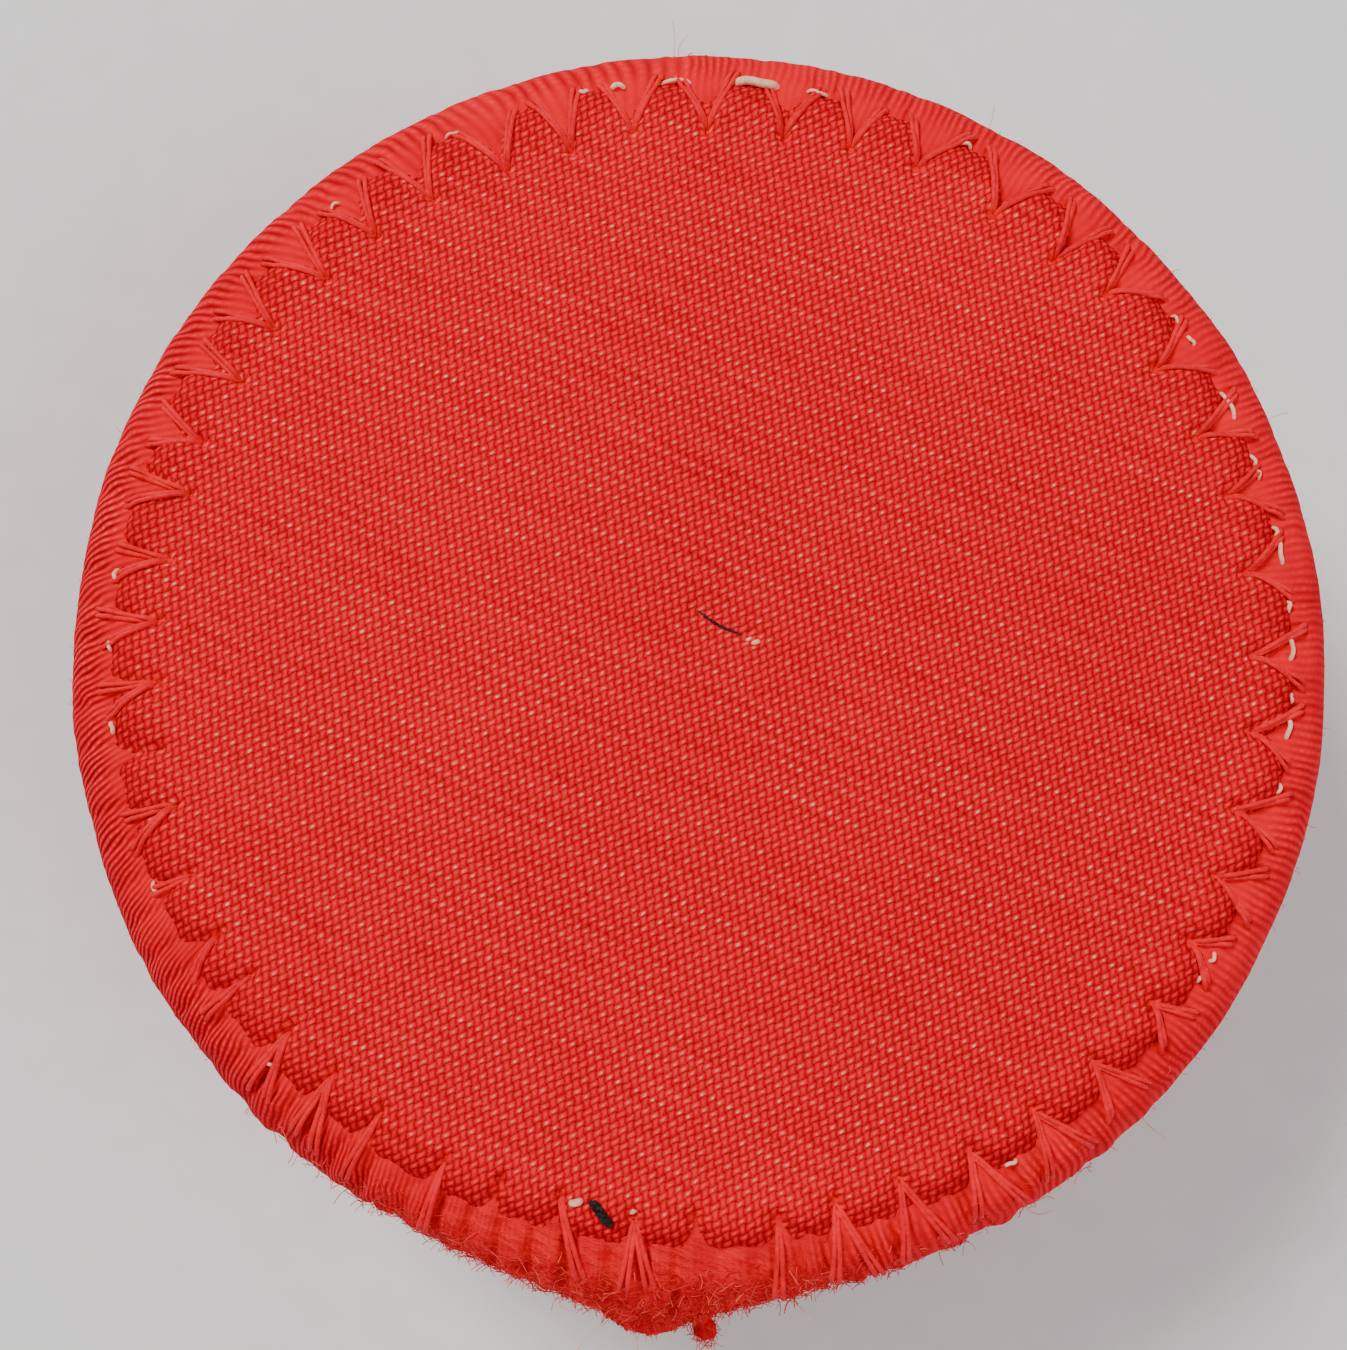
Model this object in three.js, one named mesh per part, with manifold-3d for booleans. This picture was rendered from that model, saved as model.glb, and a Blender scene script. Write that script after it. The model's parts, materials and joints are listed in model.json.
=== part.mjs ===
// A wrist pin cushion: a round stuffed cushion with a hand-sewn face, on a hook-and-loop wrist strap
// that lies folded flat underneath. Millimetres, +Z up out of the face, strap along Y.
import * as THREE from 'three';
import * as BufferGeometryUtils from 'three/addons/utils/BufferGeometryUtils.js';
import Module from 'manifold-3d';

const wasm = await Module();
wasm.setup();

// ---- Driving dimensions ----
const GAP = 0.3; // clearance between pieces that touch on the real object
const CUSHION_R = 35; // widest point of the side
const FACE_R = 31.3; // seam of the face
const BASE_R = 30.6; // seam of the base
const SIDE_H = 23; // base cloth to face seam
const CROWN = 0.9; // rise of the face's middle above its seam
const CLOTH_T = 0.5;
const WALL_T = CLOTH_T + 0.1; // the side's gathers make it a little thicker
const HEM_W = 4; // turned-under edge of the face and the base
const HEM_OPEN = 0.6; // between the face and the free edge of its hem
const FOLD_OPEN = 0.2; // between the face and its hem, at the fold
const BASE_EDGE_ROUND = 0.4;
const BAND_TOP_R = 32.1; // where the side cloth meets the face seam
const BAND_LOW_R = 31.5; // where the side cloth meets the base seam
const BAND_DROP = 0.35; // from each seam to the side cloth's edge
const SHOULDER_SHARE = 0.42; // of the side's height, taken by each half of its bulge
const WADDING_LOW = 2.6; // where the filling starts to touch the side, above the base
const WADDING_HIGH = 2.2; // and where it stops, below the seam
const WADDING_SHOULDER = 1.9;

const STRAP_W = 25;
const STRAP_T = 1;
const TAPE_W = 20;
const TAPE_T = 0.8;
const THREAD_R = 0.15; // machine stitches in the strap
const STITCH_OPEN = 0.05; // between a stitch and the cloth it lies on
const FOLD_JOIN = 0.05; // between a fold of the strap and the straight webbing
const TIP_CORNER_R = 5;
const NEAR_HINGE_Y = -31;
const FAR_HINGE_Y = 33;
const FAR_TIP_Y = -26;
const SEWN_END_Y = 6; // inner end of the stretch sewn under the base
const LANDING_START_Y = 8;
const LANDING_END_Y = 30;
const HOOK_LENGTH = 25;
const HOOK_INSET = 2; // from the strap's tip to the hook tape
const BOX_STITCH_INSET = 0.9;
const BOX_STITCH_HALF_W = 10.6;
const LANDING_STITCH_INSET = 1;
const HOOK_STITCH_INSET = 1.2;
const HOOK_STITCH_START = 5; // from the strap's tip
const HOOK_STITCH_END = 0.8; // past the length of the hook tape

const ZIGZAG_TEETH = 49;
const ZIGZAG_PHASE = 0.5; // puts the edge tack between two stitches
const ZIGZAG_OUTER_R = 32.2;
const ZIGZAG_INNER_R = 28.8;
const ZIGZAG_THREAD_R = 0.22;
const BASE_ZIGZAG_OUTER_R = 31;
const BASE_ZIGZAG_INNER_R = 27.8;
const BASE_ZIGZAG_THREAD_R = 0.17;
const ZIGZAG_LIFT = 0.13; // keeps the thread's flat-sided tube clear of the cloth
const RUNNING_R = 31.6;
const RUNNING_DIPS = 60;
const RUNNING_WAVE = 0.08;
const RUNNING_THREAD_R = 0.12;
const GATHER_THREAD_R = 0.15;
const FACE_GATHER_R = BAND_TOP_R - 1;
const BASE_GATHER_R = BAND_LOW_R - 0.85;
const TACK_THREAD_R = 0.25;
const TACK_HOLE_R = 0.55;
const TACK_BEND_R = 0.3;
const CENTRE_TACK_LIFT = 0.05;
const EDGE_TACK_LIFT = 0.15; // more, because the face slopes there
const CENTRE_TACK = [[-0.4, 1.4], [2.3, -0.1]];
const EDGE_TACK = [[-5.3, -27.3], [-4.5, -28.7]];

const TUFT_RADII = [4.2, 1.1, 3.2];
const TUFT_X = -1.8;
const TUFT_STANDOFF = 0.95; // from the side's widest point to the middle of the tuft
const TUFT_DROP = 8; // below the face seam

const ROUND = 56; // segments round the cushion

// ---- Heights, from the floor up ----
const TAPE_OPEN = 0.2; // between the webbing and its hook tape
const HOOK_OPEN = 0.25; // between the hooks' stitches and the webbing over them
const SEWN_OPEN = 0.8; // room for the stitches between the two upper layers
const BASE_OPEN = 0.6; // room for the base's stitches over the webbing
const CARD_OPEN = 0.6; // filling between the base's hem and the card
const CARD_T = 0.8;
const Z_FAR = 0;
const Z_HOOK = Z_FAR + STRAP_T + TAPE_OPEN;
const Z_HOOK_STITCH = Z_HOOK + TAPE_T + STITCH_OPEN + THREAD_R;
const Z_NEAR = Z_HOOK_STITCH + THREAD_R + HOOK_OPEN;
const Z_SEWN = Z_NEAR + STRAP_T + SEWN_OPEN;
const Z_SEWN_STITCH = Z_SEWN - STITCH_OPEN - THREAD_R;
const Z_LANDING = Z_SEWN + STRAP_T - TAPE_T;
const Z_LANDING_STITCH = Z_LANDING - STITCH_OPEN - THREAD_R;
const Z_BASE = Z_SEWN + STRAP_T + BASE_OPEN;
const Z_SEAM = Z_BASE + SIDE_H;
const Z_CARD = Z_BASE + 2 * CLOTH_T + GAP + CARD_OPEN;
const Z_FACE_GATHER = Z_SEAM - 1.75;
const Z_BASE_GATHER = Z_BASE + 1.6;
const Z_RUNNING = Z_SEAM - 0.1;
const CARD_R = 27;

// ---- Materials ----
function finish(color, roughness, metalness = 0) {
  return new THREE.MeshStandardMaterial({ color, roughness, metalness });
}

const redCotton = finish(0xd0142c, 0.85);
const redThread = finish(0xc81028, 0.7);
const creamThread = finish(0xf0d2c0, 0.7);
const blackThread = finish(0x14100f, 0.6);
const blackWebbing = finish(0x17171a, 0.8);
const hookPlastic = finish(0x202024, 0.5);
const card = finish(0xd8cdb4, 0.9);
const wool = finish(0xe9e2d2, 0.95);

const cushion = new THREE.Group();

function add(name, geometry, material) {
  const mesh = new THREE.Mesh(outward(geometry), material);
  mesh.name = name;
  cushion.add(mesh);
  return mesh;
}

// ---- Geometry helpers ----
function merged(geometry) {
  const plain = geometry.clone();
  plain.deleteAttribute('normal');
  plain.deleteAttribute('uv');
  return BufferGeometryUtils.mergeVertices(plain, 1e-4);
}

// Turns every face outward by the sign of the enclosed volume.
function outward(geometry) {
  const closed = merged(geometry);
  const p = closed.getAttribute('position');
  const index = closed.getIndex();
  const [a, b, c] = [new THREE.Vector3(), new THREE.Vector3(), new THREE.Vector3()];
  let volume = 0;
  for (let i = 0; i < index.count; i += 3) {
    a.fromBufferAttribute(p, index.getX(i));
    b.fromBufferAttribute(p, index.getX(i + 1));
    c.fromBufferAttribute(p, index.getX(i + 2));
    volume += a.dot(b.cross(c));
  }
  if (volume < 0) {
    for (let i = 0; i < index.count; i += 3) {
      const first = index.getX(i);
      index.setX(i, index.getX(i + 1));
      index.setX(i + 1, first);
    }
  }
  closed.computeVertexNormals();
  return closed;
}

function solid(geometry) {
  const closed = outward(geometry);
  return new wasm.Manifold(new wasm.Mesh({
    numProp: 3,
    vertProperties: new Float32Array(closed.getAttribute('position').array),
    triVerts: new Uint32Array(closed.getIndex().array),
  }));
}

function geometryOf(manifold) {
  const mesh = manifold.getMesh();
  const geometry = new THREE.BufferGeometry();
  geometry.setAttribute('position', new THREE.BufferAttribute(new Float32Array(mesh.vertProperties), 3));
  geometry.setIndex(new THREE.BufferAttribute(new Uint32Array(mesh.triVerts), 1));
  return geometry;
}

// A closed profile of [radius, height] points turned about Z.
function turned(profile) {
  const points = profile.map(([r, z]) => new THREE.Vector2(r, z));
  return new THREE.LatheGeometry(points, ROUND).rotateX(Math.PI / 2);
}

// A closed loop of thread: a torus bent so that its centreline follows path(turn), turn from 0 to 1.
function threadLoop(path, radius, segments, sides = 6) {
  const torus = new THREE.TorusGeometry(1, 0.5, sides, segments);
  const p = torus.getAttribute('position');
  for (let i = 0; i <= sides; i += 1) {
    for (let j = 0; j <= segments; j += 1) {
      const turn = (j % segments) / segments;
      const around = ((i % sides) / sides) * 2 * Math.PI;
      const here = path(turn);
      const ahead = path((turn + 0.25 / segments) % 1);
      const behind = path((turn + 1 - 0.25 / segments) % 1);
      const tangent = ahead.point.clone().sub(behind.point).normalize();
      const side = here.up.clone().cross(tangent).normalize();
      const up = tangent.clone().cross(side);
      const at = here.point.clone();
      at.addScaledVector(side, radius * Math.cos(around));
      at.addScaledVector(up, radius * Math.sin(around));
      p.setXYZ(i * (segments + 1) + j, at.x, at.y, at.z);
    }
  }
  return torus;
}

// The height of the face cloth's top surface.
function faceTop(r) {
  return Z_SEAM + CROWN * (1 - (r / FACE_R) ** 2);
}

// ---- Cloth covers ----
// Half of the side's bulge as [radius, height above or below the seam] pairs.
function shoulder(startR, depth, steps) {
  return Array.from({ length: steps }, (_, i) => {
    const t = (i / (steps - 1)) * (Math.PI / 2);
    return [startR + (CUSHION_R - startR) * Math.sin(t), depth * (1 - Math.cos(t))];
  });
}

function bandOutline(inset) {
  const depth = SIDE_H * SHOULDER_SHARE;
  const top = shoulder(BAND_TOP_R, depth, 6).map(([r, d]) => [r - inset, Z_SEAM - BAND_DROP - d]);
  const low = shoulder(BAND_LOW_R, depth, 6).map(([r, d]) => [r - inset, Z_BASE + BAND_DROP + d]);
  return [...low, ...top.reverse()];
}

function sideBand() {
  const outer = bandOutline(0);
  const inner = bandOutline(WALL_T).reverse();
  return turned([...outer, ...inner, outer[0]]);
}

function faceDisc() {
  const radii = [0, 0.25, 0.5, 0.75, 1].map((share) => FACE_R * share);
  const top = radii.map((r) => [r, faceTop(r)]);
  const hemR = FACE_R - HEM_W;
  const under = top.slice(0, -2).reverse().map(([r, z]) => [r, z - CLOTH_T]);
  return turned([
    ...top,
    [FACE_R, Z_SEAM - CLOTH_T],
    [FACE_R - FOLD_OPEN, Z_SEAM - 2 * CLOTH_T - FOLD_OPEN],
    [hemR, faceTop(hemR) - 2 * CLOTH_T - HEM_OPEN],
    [hemR, faceTop(hemR) - CLOTH_T - HEM_OPEN],
    [FACE_R - CLOTH_T - FOLD_OPEN, Z_SEAM - CLOTH_T - FOLD_OPEN],
    ...under,
  ]);
}

function baseDisc() {
  const hemR = BASE_R - HEM_W;
  return turned([
    [0, Z_BASE],
    [BASE_R - BASE_EDGE_ROUND, Z_BASE],
    [BASE_R, Z_BASE + CLOTH_T],
    [BASE_R - BASE_EDGE_ROUND, Z_BASE + 2 * CLOTH_T + FOLD_OPEN],
    [hemR, Z_BASE + 2 * CLOTH_T + FOLD_OPEN],
    [hemR, Z_BASE + CLOTH_T + FOLD_OPEN],
    [BASE_R - BASE_EDGE_ROUND - CLOTH_T, Z_BASE + WALL_T],
    [hemR - 1, Z_BASE + CLOTH_T],
    [0, Z_BASE + CLOTH_T],
  ]);
}

// ---- Filling ----
function waddingCore() {
  const inside = bandOutline(WALL_T + GAP);
  const wall = inside.filter(([, z]) => z > Z_BASE + WADDING_LOW && z < Z_SEAM - WADDING_HIGH);
  const lowZ = Z_BASE + CLOTH_T + WALL_T + 2 * GAP;
  const cardGap = [
    [0, Z_CARD + CARD_T + GAP],
    [CARD_R + GAP, Z_CARD + CARD_T + GAP],
    [CARD_R + GAP, lowZ],
    [BASE_R - 2 * GAP, lowZ],
  ];
  const hemR = FACE_R - HEM_W;
  const top = [
    [FACE_R - 2 * GAP, Z_SEAM - WADDING_SHOULDER],
    [hemR - GAP, faceTop(hemR) - 3 * CLOTH_T - HEM_OPEN],
    [hemR - GAP, faceTop(hemR) - CLOTH_T - GAP],
    [FACE_R / 2, faceTop(FACE_R / 2) - CLOTH_T - GAP],
    [0, faceTop(0) - CLOTH_T - GAP],
  ];
  return turned([...cardGap, ...wall, ...top]);
}

function stiffenerCard() {
  return new THREE.CylinderGeometry(CARD_R, CARD_R, CARD_T, ROUND)
    .rotateX(Math.PI / 2)
    .translate(0, 0, Z_CARD + CARD_T / 2);
}

// ---- Threads ----
function around(angle, r, z) {
  return new THREE.Vector3(r * Math.cos(angle), r * Math.sin(angle), z);
}

// A hand-sewn zigzag round a seam. z(r) is the cloth's height, and up is +1 on the face, -1 on the base.
function zigzag(innerR, outerR, z, up, threadR) {
  const path = (turn) => {
    const tooth = (turn * ZIGZAG_TEETH + ZIGZAG_PHASE) % 1;
    const reach = Math.abs(2 * tooth - 1);
    const r = innerR + (outerR - innerR) * reach;
    return {
      point: around(turn * 2 * Math.PI, r, z(r) + up * (threadR + ZIGZAG_LIFT)),
      up: new THREE.Vector3(0, 0, up),
    };
  };
  return threadLoop(path, threadR, ZIGZAG_TEETH * 2, 4);
}

// The running stitch that bastes the side to the face, wavy as it dips in and out of the cloth.
function runningStitch(r, z, dips) {
  const path = (turn) => {
    const wave = Math.cos(turn * dips * 2 * Math.PI);
    return {
      point: around(turn * 2 * Math.PI, r, z + RUNNING_WAVE * wave),
      up: new THREE.Vector3(0, 0, 1),
    };
  };
  return threadLoop(path, RUNNING_THREAD_R, dips * 2, 4);
}

function ring(r, z, threadR) {
  return new THREE.TorusGeometry(r, threadR, 4, ROUND).translate(0, 0, z);
}

// The point at a share of the way through a list of curves, each curve having an equal share.
function pointAlong(curves, turn) {
  const place = turn * curves.length;
  const i = Math.min(Math.floor(place), curves.length - 1);
  return curves[i].getPoint(place - i);
}

// A tack: a closed loop of thread through the whole cushion, between two points given in plan.
function tackLoop([[x1, y1], [x2, y2]], topZ, lowZ) {
  const corners = [
    [x1, y1, lowZ], [x2, y2, lowZ], [x2, y2, topZ], [x1, y1, topZ],
  ].map((c) => new THREE.Vector3(...c));
  const pieces = corners.flatMap((corner, i) => {
    const before = corners[(i + 3) % 4];
    const after = corners[(i + 1) % 4];
    const from = corner.clone().add(before.clone().sub(corner).setLength(TACK_BEND_R));
    const to = corner.clone().add(after.clone().sub(corner).setLength(TACK_BEND_R));
    const leave = after.clone().add(corner.clone().sub(after).setLength(TACK_BEND_R));
    return [new THREE.QuadraticBezierCurve3(from, corner, to), new THREE.LineCurve3(to, leave)];
  });
  const up = new THREE.Vector3(y2 - y1, x1 - x2, 0).normalize();
  return threadLoop((turn) => ({ point: pointAlong(pieces, turn), up }), TACK_THREAD_R, 32, 6);
}

function tackHoles(tacks, lowZ, highZ) {
  return tacks.flat().map(([x, y]) => solid(
    new THREE.CylinderGeometry(TACK_HOLE_R, TACK_HOLE_R, highZ - lowZ, 12)
      .rotateX(Math.PI / 2)
      .translate(x, y, (highZ + lowZ) / 2),
  ));
}

function pierced(geometry, tacks) {
  const cut = tackHoles(tacks, 0, Z_SEAM + 5).reduce((body, hole) => body.subtract(hole), solid(geometry));
  return geometryOf(cut);
}

// A rectangle of machine stitching lying flat, as one closed thread.
function stitchedBox(halfWidth, startY, endY, z) {
  const corners = [
    [-halfWidth, startY], [halfWidth, startY], [halfWidth, endY], [-halfWidth, endY],
  ].map(([x, y]) => new THREE.Vector3(x, y, z));
  const sides = corners.map((corner, i) => new THREE.LineCurve3(corner, corners[(i + 1) % 4]));
  const up = new THREE.Vector3(0, 0, 1);
  return threadLoop((turn) => ({ point: pointAlong(sides, turn), up }), THREAD_R, 24, 4);
}

// ---- Strap ----
function slab(width, startY, endY, z, thickness) {
  return new THREE.BoxGeometry(width, endY - startY, thickness)
    .translate(0, (startY + endY) / 2, z + thickness / 2);
}

// The end of the strap, rounded in plan.
function tipSlab(width, tipY, endY, z, thickness) {
  const half = width / 2;
  const outline = new THREE.Shape();
  outline.moveTo(half, endY);
  outline.lineTo(-half, endY);
  outline.lineTo(-half, tipY + TIP_CORNER_R);
  outline.absarc(-half + TIP_CORNER_R, tipY + TIP_CORNER_R, TIP_CORNER_R, Math.PI, 1.5 * Math.PI, false);
  outline.absarc(half - TIP_CORNER_R, tipY + TIP_CORNER_R, TIP_CORNER_R, 1.5 * Math.PI, 2 * Math.PI, false);
  outline.closePath();
  return new THREE.ExtrudeGeometry(outline, { depth: thickness, bevelEnabled: false, curveSegments: 6 })
    .translate(0, 0, z);
}

// The half turn of webbing that joins two layers of the strap, outside y on the given side.
function fold(y, side, lowZ, highZ) {
  const axisZ = (lowZ + highZ + STRAP_T) / 2;
  const outerR = (highZ + STRAP_T - lowZ) / 2;
  const innerR = outerR - STRAP_T;
  const section = new THREE.Shape();
  section.absarc(0, 0, outerR, -Math.PI / 2, Math.PI / 2, false);
  section.absarc(0, 0, innerR, Math.PI / 2, -Math.PI / 2, true);
  section.closePath();
  return new THREE.ExtrudeGeometry(section, { depth: STRAP_W, bevelEnabled: false, curveSegments: 12 })
    .translate(0, 0, -STRAP_W / 2)
    .rotateX(Math.PI / 2)
    .rotateZ((side * Math.PI) / 2)
    .translate(0, y + side * FOLD_JOIN, axisZ);
}

// ---- The frayed knot of cloth and thread where the side's ends are joined ----
function rimTuft() {
  const tuft = new THREE.SphereGeometry(1, 20, 12);
  return tuft.scale(...TUFT_RADII).translate(TUFT_X, -(CUSHION_R + TUFT_STANDOFF), Z_SEAM - TUFT_DROP);
}

// ---- Assembly ----
const bothTacks = [CENTRE_TACK, EDGE_TACK];
const tackLowZ = Z_SEWN_STITCH - 0.1; // below the webbing's stitches
add('face_cover', pierced(faceDisc(), bothTacks), redCotton);
add('side_band', sideBand(), redCotton);
add('base_cover', pierced(baseDisc(), bothTacks), redCotton);
add('wadding', pierced(waddingCore(), bothTacks), wool);
add('stiffener_card', pierced(stiffenerCard(), [CENTRE_TACK]), card);
add('rim_tuft', rimTuft(), redCotton);

const stitchedTop = (r) => faceTop(Math.min(r, FACE_R));
add('face_zigzag_stitch',
  zigzag(ZIGZAG_INNER_R, ZIGZAG_OUTER_R, stitchedTop, 1, ZIGZAG_THREAD_R), redThread);
add('base_zigzag_stitch',
  zigzag(BASE_ZIGZAG_INNER_R, BASE_ZIGZAG_OUTER_R, () => Z_BASE, -1, BASE_ZIGZAG_THREAD_R), redThread);
add('face_running_stitch', runningStitch(RUNNING_R, Z_RUNNING, RUNNING_DIPS), creamThread);
add('face_gather_thread', ring(FACE_GATHER_R, Z_FACE_GATHER, GATHER_THREAD_R), redThread);
add('base_gather_thread', ring(BASE_GATHER_R, Z_BASE_GATHER, GATHER_THREAD_R), redThread);
const centreTackZ = faceTop(0) + TACK_THREAD_R + CENTRE_TACK_LIFT;
const edgeTackZ = faceTop(Math.hypot(...EDGE_TACK[0])) + TACK_THREAD_R + EDGE_TACK_LIFT;
add('centre_tack', tackLoop(CENTRE_TACK, centreTackZ, tackLowZ), blackThread);
add('edge_tack', tackLoop(EDGE_TACK, edgeTackZ, tackLowZ), blackThread);

const sewnEnd = slab(STRAP_W, NEAR_HINGE_Y, SEWN_END_Y, Z_SEWN, STRAP_T);
add('strap_sewn_end', pierced(sewnEnd, bothTacks), blackWebbing);
add('strap_near_fold', fold(NEAR_HINGE_Y, -1, Z_NEAR, Z_SEWN), blackWebbing);
add('strap_near', slab(STRAP_W, NEAR_HINGE_Y, FAR_HINGE_Y, Z_NEAR, STRAP_T), blackWebbing);
add('strap_far_fold', fold(FAR_HINGE_Y, 1, Z_FAR, Z_NEAR), blackWebbing);
add('strap_far', tipSlab(STRAP_W, FAR_TIP_Y, FAR_HINGE_Y, Z_FAR, STRAP_T), blackWebbing);
const hookStartY = FAR_TIP_Y + HOOK_INSET;
add('hook_tape', tipSlab(TAPE_W, hookStartY, hookStartY + HOOK_LENGTH, Z_HOOK, TAPE_T), hookPlastic);
add('landing_tape', slab(TAPE_W, LANDING_START_Y, LANDING_END_Y, Z_LANDING, TAPE_T), blackWebbing);
add('strap_box_stitch', stitchedBox(
  BOX_STITCH_HALF_W, NEAR_HINGE_Y + BOX_STITCH_INSET, SEWN_END_Y - BOX_STITCH_INSET, Z_SEWN_STITCH,
), blackThread);
add('landing_tape_stitch', stitchedBox(
  TAPE_W / 2 - LANDING_STITCH_INSET,
  LANDING_START_Y + LANDING_STITCH_INSET,
  LANDING_END_Y - LANDING_STITCH_INSET,
  Z_LANDING_STITCH,
), blackThread);
add('hook_tape_stitch', stitchedBox(
  TAPE_W / 2 - HOOK_STITCH_INSET,
  FAR_TIP_Y + HOOK_STITCH_START,
  FAR_TIP_Y + HOOK_LENGTH + HOOK_STITCH_END,
  Z_HOOK_STITCH,
), blackThread);

export default cushion;
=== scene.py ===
import json
import math

import bmesh
import bpy
import numpy as np
from mathutils import Matrix, Vector


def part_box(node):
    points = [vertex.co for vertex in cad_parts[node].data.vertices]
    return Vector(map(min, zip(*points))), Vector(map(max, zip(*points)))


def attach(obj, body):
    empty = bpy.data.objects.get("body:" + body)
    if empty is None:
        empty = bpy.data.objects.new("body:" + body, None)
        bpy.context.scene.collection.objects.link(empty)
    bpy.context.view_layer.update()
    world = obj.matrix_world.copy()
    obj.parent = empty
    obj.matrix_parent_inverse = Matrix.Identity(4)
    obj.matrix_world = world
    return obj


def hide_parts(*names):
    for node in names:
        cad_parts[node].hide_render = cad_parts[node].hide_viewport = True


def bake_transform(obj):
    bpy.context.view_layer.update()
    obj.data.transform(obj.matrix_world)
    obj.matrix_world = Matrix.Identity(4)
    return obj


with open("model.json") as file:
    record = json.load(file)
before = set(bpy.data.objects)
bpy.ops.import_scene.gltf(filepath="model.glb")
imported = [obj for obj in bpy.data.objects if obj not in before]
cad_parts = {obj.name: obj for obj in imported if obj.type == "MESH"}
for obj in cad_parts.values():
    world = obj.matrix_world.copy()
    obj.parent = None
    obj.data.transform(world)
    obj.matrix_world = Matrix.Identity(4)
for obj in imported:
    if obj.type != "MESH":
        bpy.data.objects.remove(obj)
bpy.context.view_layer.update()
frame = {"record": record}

MM = 0.001
TAU = 2 * math.pi

# ---- Sizes read from the frame, in millimetres ----


def box_mm(node):
    low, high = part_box(node)
    return np.array(low) / MM, np.array(high) / MM


_, FACE_HIGH = box_mm("face_cover")
_, BAND_HIGH = box_mm("side_band")
BASE_LOW, BASE_HIGH = box_mm("base_cover")
SEWN_LOW, SEWN_HIGH = box_mm("strap_sewn_end")
NEAR_LOW, NEAR_HIGH = box_mm("strap_near")
FAR_LOW, FAR_HIGH = box_mm("strap_far")
FACE_R = FACE_HIGH[0]
BASE_R = BASE_HIGH[0]
CUSHION_R = BAND_HIGH[0]
CROWN = 0.9  # how far the middle of the face stands above its seam
SEAM_Z = FACE_HIGH[2] - CROWN
BASE_Z = BASE_LOW[2]
HINGES = {joint["name"]: joint for joint in frame["record"]["behaviour"]["joints"]}

# ---- Stitch layout ----
TEETH = 49  # stitches round the face
STITCH_IN_R = 29.1  # where the needle went into the face
STITCH_OUT_R = 31.7  # where it went into the side
SPREAD = 0.37  # how far a stitch's outer ends stand from its inner end, in stitch lengths
DENSE_AT = math.radians(225)  # the stitches crowd together here
DENSITY = 0.13
TIP_ANGLE = math.radians(265.5)  # where the side's ends are joined and fray into a point
TIP_REACH = math.radians(18.5)  # from the point to where its flanks leave the circle


def rng(seed):
    return np.random.default_rng(seed)


def stitch_angles(count, seed, jitter, density):
    """The angles of the stitches' inner ends, crowding together near DENSE_AT."""
    even = (np.arange(count) + 0.5 + rng(seed).uniform(-jitter, jitter, count)) / count * TAU
    return even - density * np.sin(even - DENSE_AT)


# ---- Mesh helpers ----


def piece_from(name, verts, faces, material):
    """A piece from points in millimetres, with every face turned outward."""
    mesh = bpy.data.meshes.new(name)
    mesh.from_pydata((np.asarray(verts) * MM).tolist(), [], faces)
    mesh.validate()
    turned = bmesh.new()
    turned.from_mesh(mesh)
    bmesh.ops.recalc_face_normals(turned, faces=turned.faces)
    turned.to_mesh(mesh)
    turned.free()
    mesh.shade_smooth()
    piece = bpy.data.objects.new(name, mesh)
    bpy.context.scene.collection.objects.link(piece)
    piece.data.materials.append(material)
    return piece


def declare(piece, body, slot, *nodes):
    """Says which body carries a piece and which CAD nodes it stands in for. The slot is not used."""
    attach(piece, body)
    if nodes:
        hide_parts(*nodes)


def points(radius, theta, z):
    """Points at a radius and an angle about the axis, and a height."""
    return np.stack(np.broadcast_arrays(radius * np.cos(theta), radius * np.sin(theta), z), axis=-1)


def grid_faces(rows, columns, first=0, wrap_rows=False):
    """Quads over a grid whose columns wrap round."""
    last = rows if wrap_rows else rows - 1
    i, j = np.meshgrid(np.arange(last), np.arange(columns), indexing="ij")
    a = first + i * columns + j
    b = first + i * columns + (j + 1) % columns
    c = first + ((i + 1) % rows) * columns + (j + 1) % columns
    d = first + ((i + 1) % rows) * columns + j
    return np.stack([a, d, c, b], axis=-1).reshape(-1, 4).tolist()


def closed_grid(rows, columns, first=0):
    """The quads of grid_faces with a face over each end."""
    last = first + (rows - 1) * columns
    ends = [list(range(start, start + columns)) for start in (first, last)]
    return grid_faces(rows, columns, first) + ends


def ball_angles(columns, rows, gap):
    """Angles round and down a ball, stopping short of its poles by the gap."""
    return np.meshgrid(np.arange(columns) / columns * TAU, np.linspace(gap, math.pi - gap, rows))


def fan(centre, start, columns):
    """Triangles from a middle point to a row of the grid."""
    return [(centre, start + k, start + (k + 1) % columns) for k in range(columns)]


def unit(vectors):
    return vectors / (np.linalg.norm(vectors, axis=-1, keepdims=True) + 1e-12)


def tube_parts(path, radius, sides=6, first=0):
    """A closed round tube along a path, its radius one number or one per point."""
    path = np.asarray(path, float)
    n = len(path)
    radius = np.broadcast_to(np.asarray(radius, float), (n,))
    tangent = unit(np.gradient(path, axis=0))
    aside = unit(np.cross(tangent, [0.13, 0.21, 0.97]))
    over = np.cross(tangent, aside)
    turn = np.arange(sides) / sides * TAU
    ring = aside[:, None] * np.cos(turn)[None, :, None] + over[:, None] * np.sin(turn)[None, :, None]
    verts = (path[:, None] + ring * radius[:, None, None]).reshape(-1, 3)
    return verts, closed_grid(n, sides, first)


def tubes(name, paths, radii, material, sides=6):
    """Several tubes as one piece."""
    verts, faces, first = [], [], 0
    for path, radius in zip(paths, radii):
        v, f = tube_parts(path, radius, sides, first)
        verts.append(v)
        faces += f
        first += len(v)
    return piece_from(name, np.concatenate(verts), faces, material)


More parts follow.
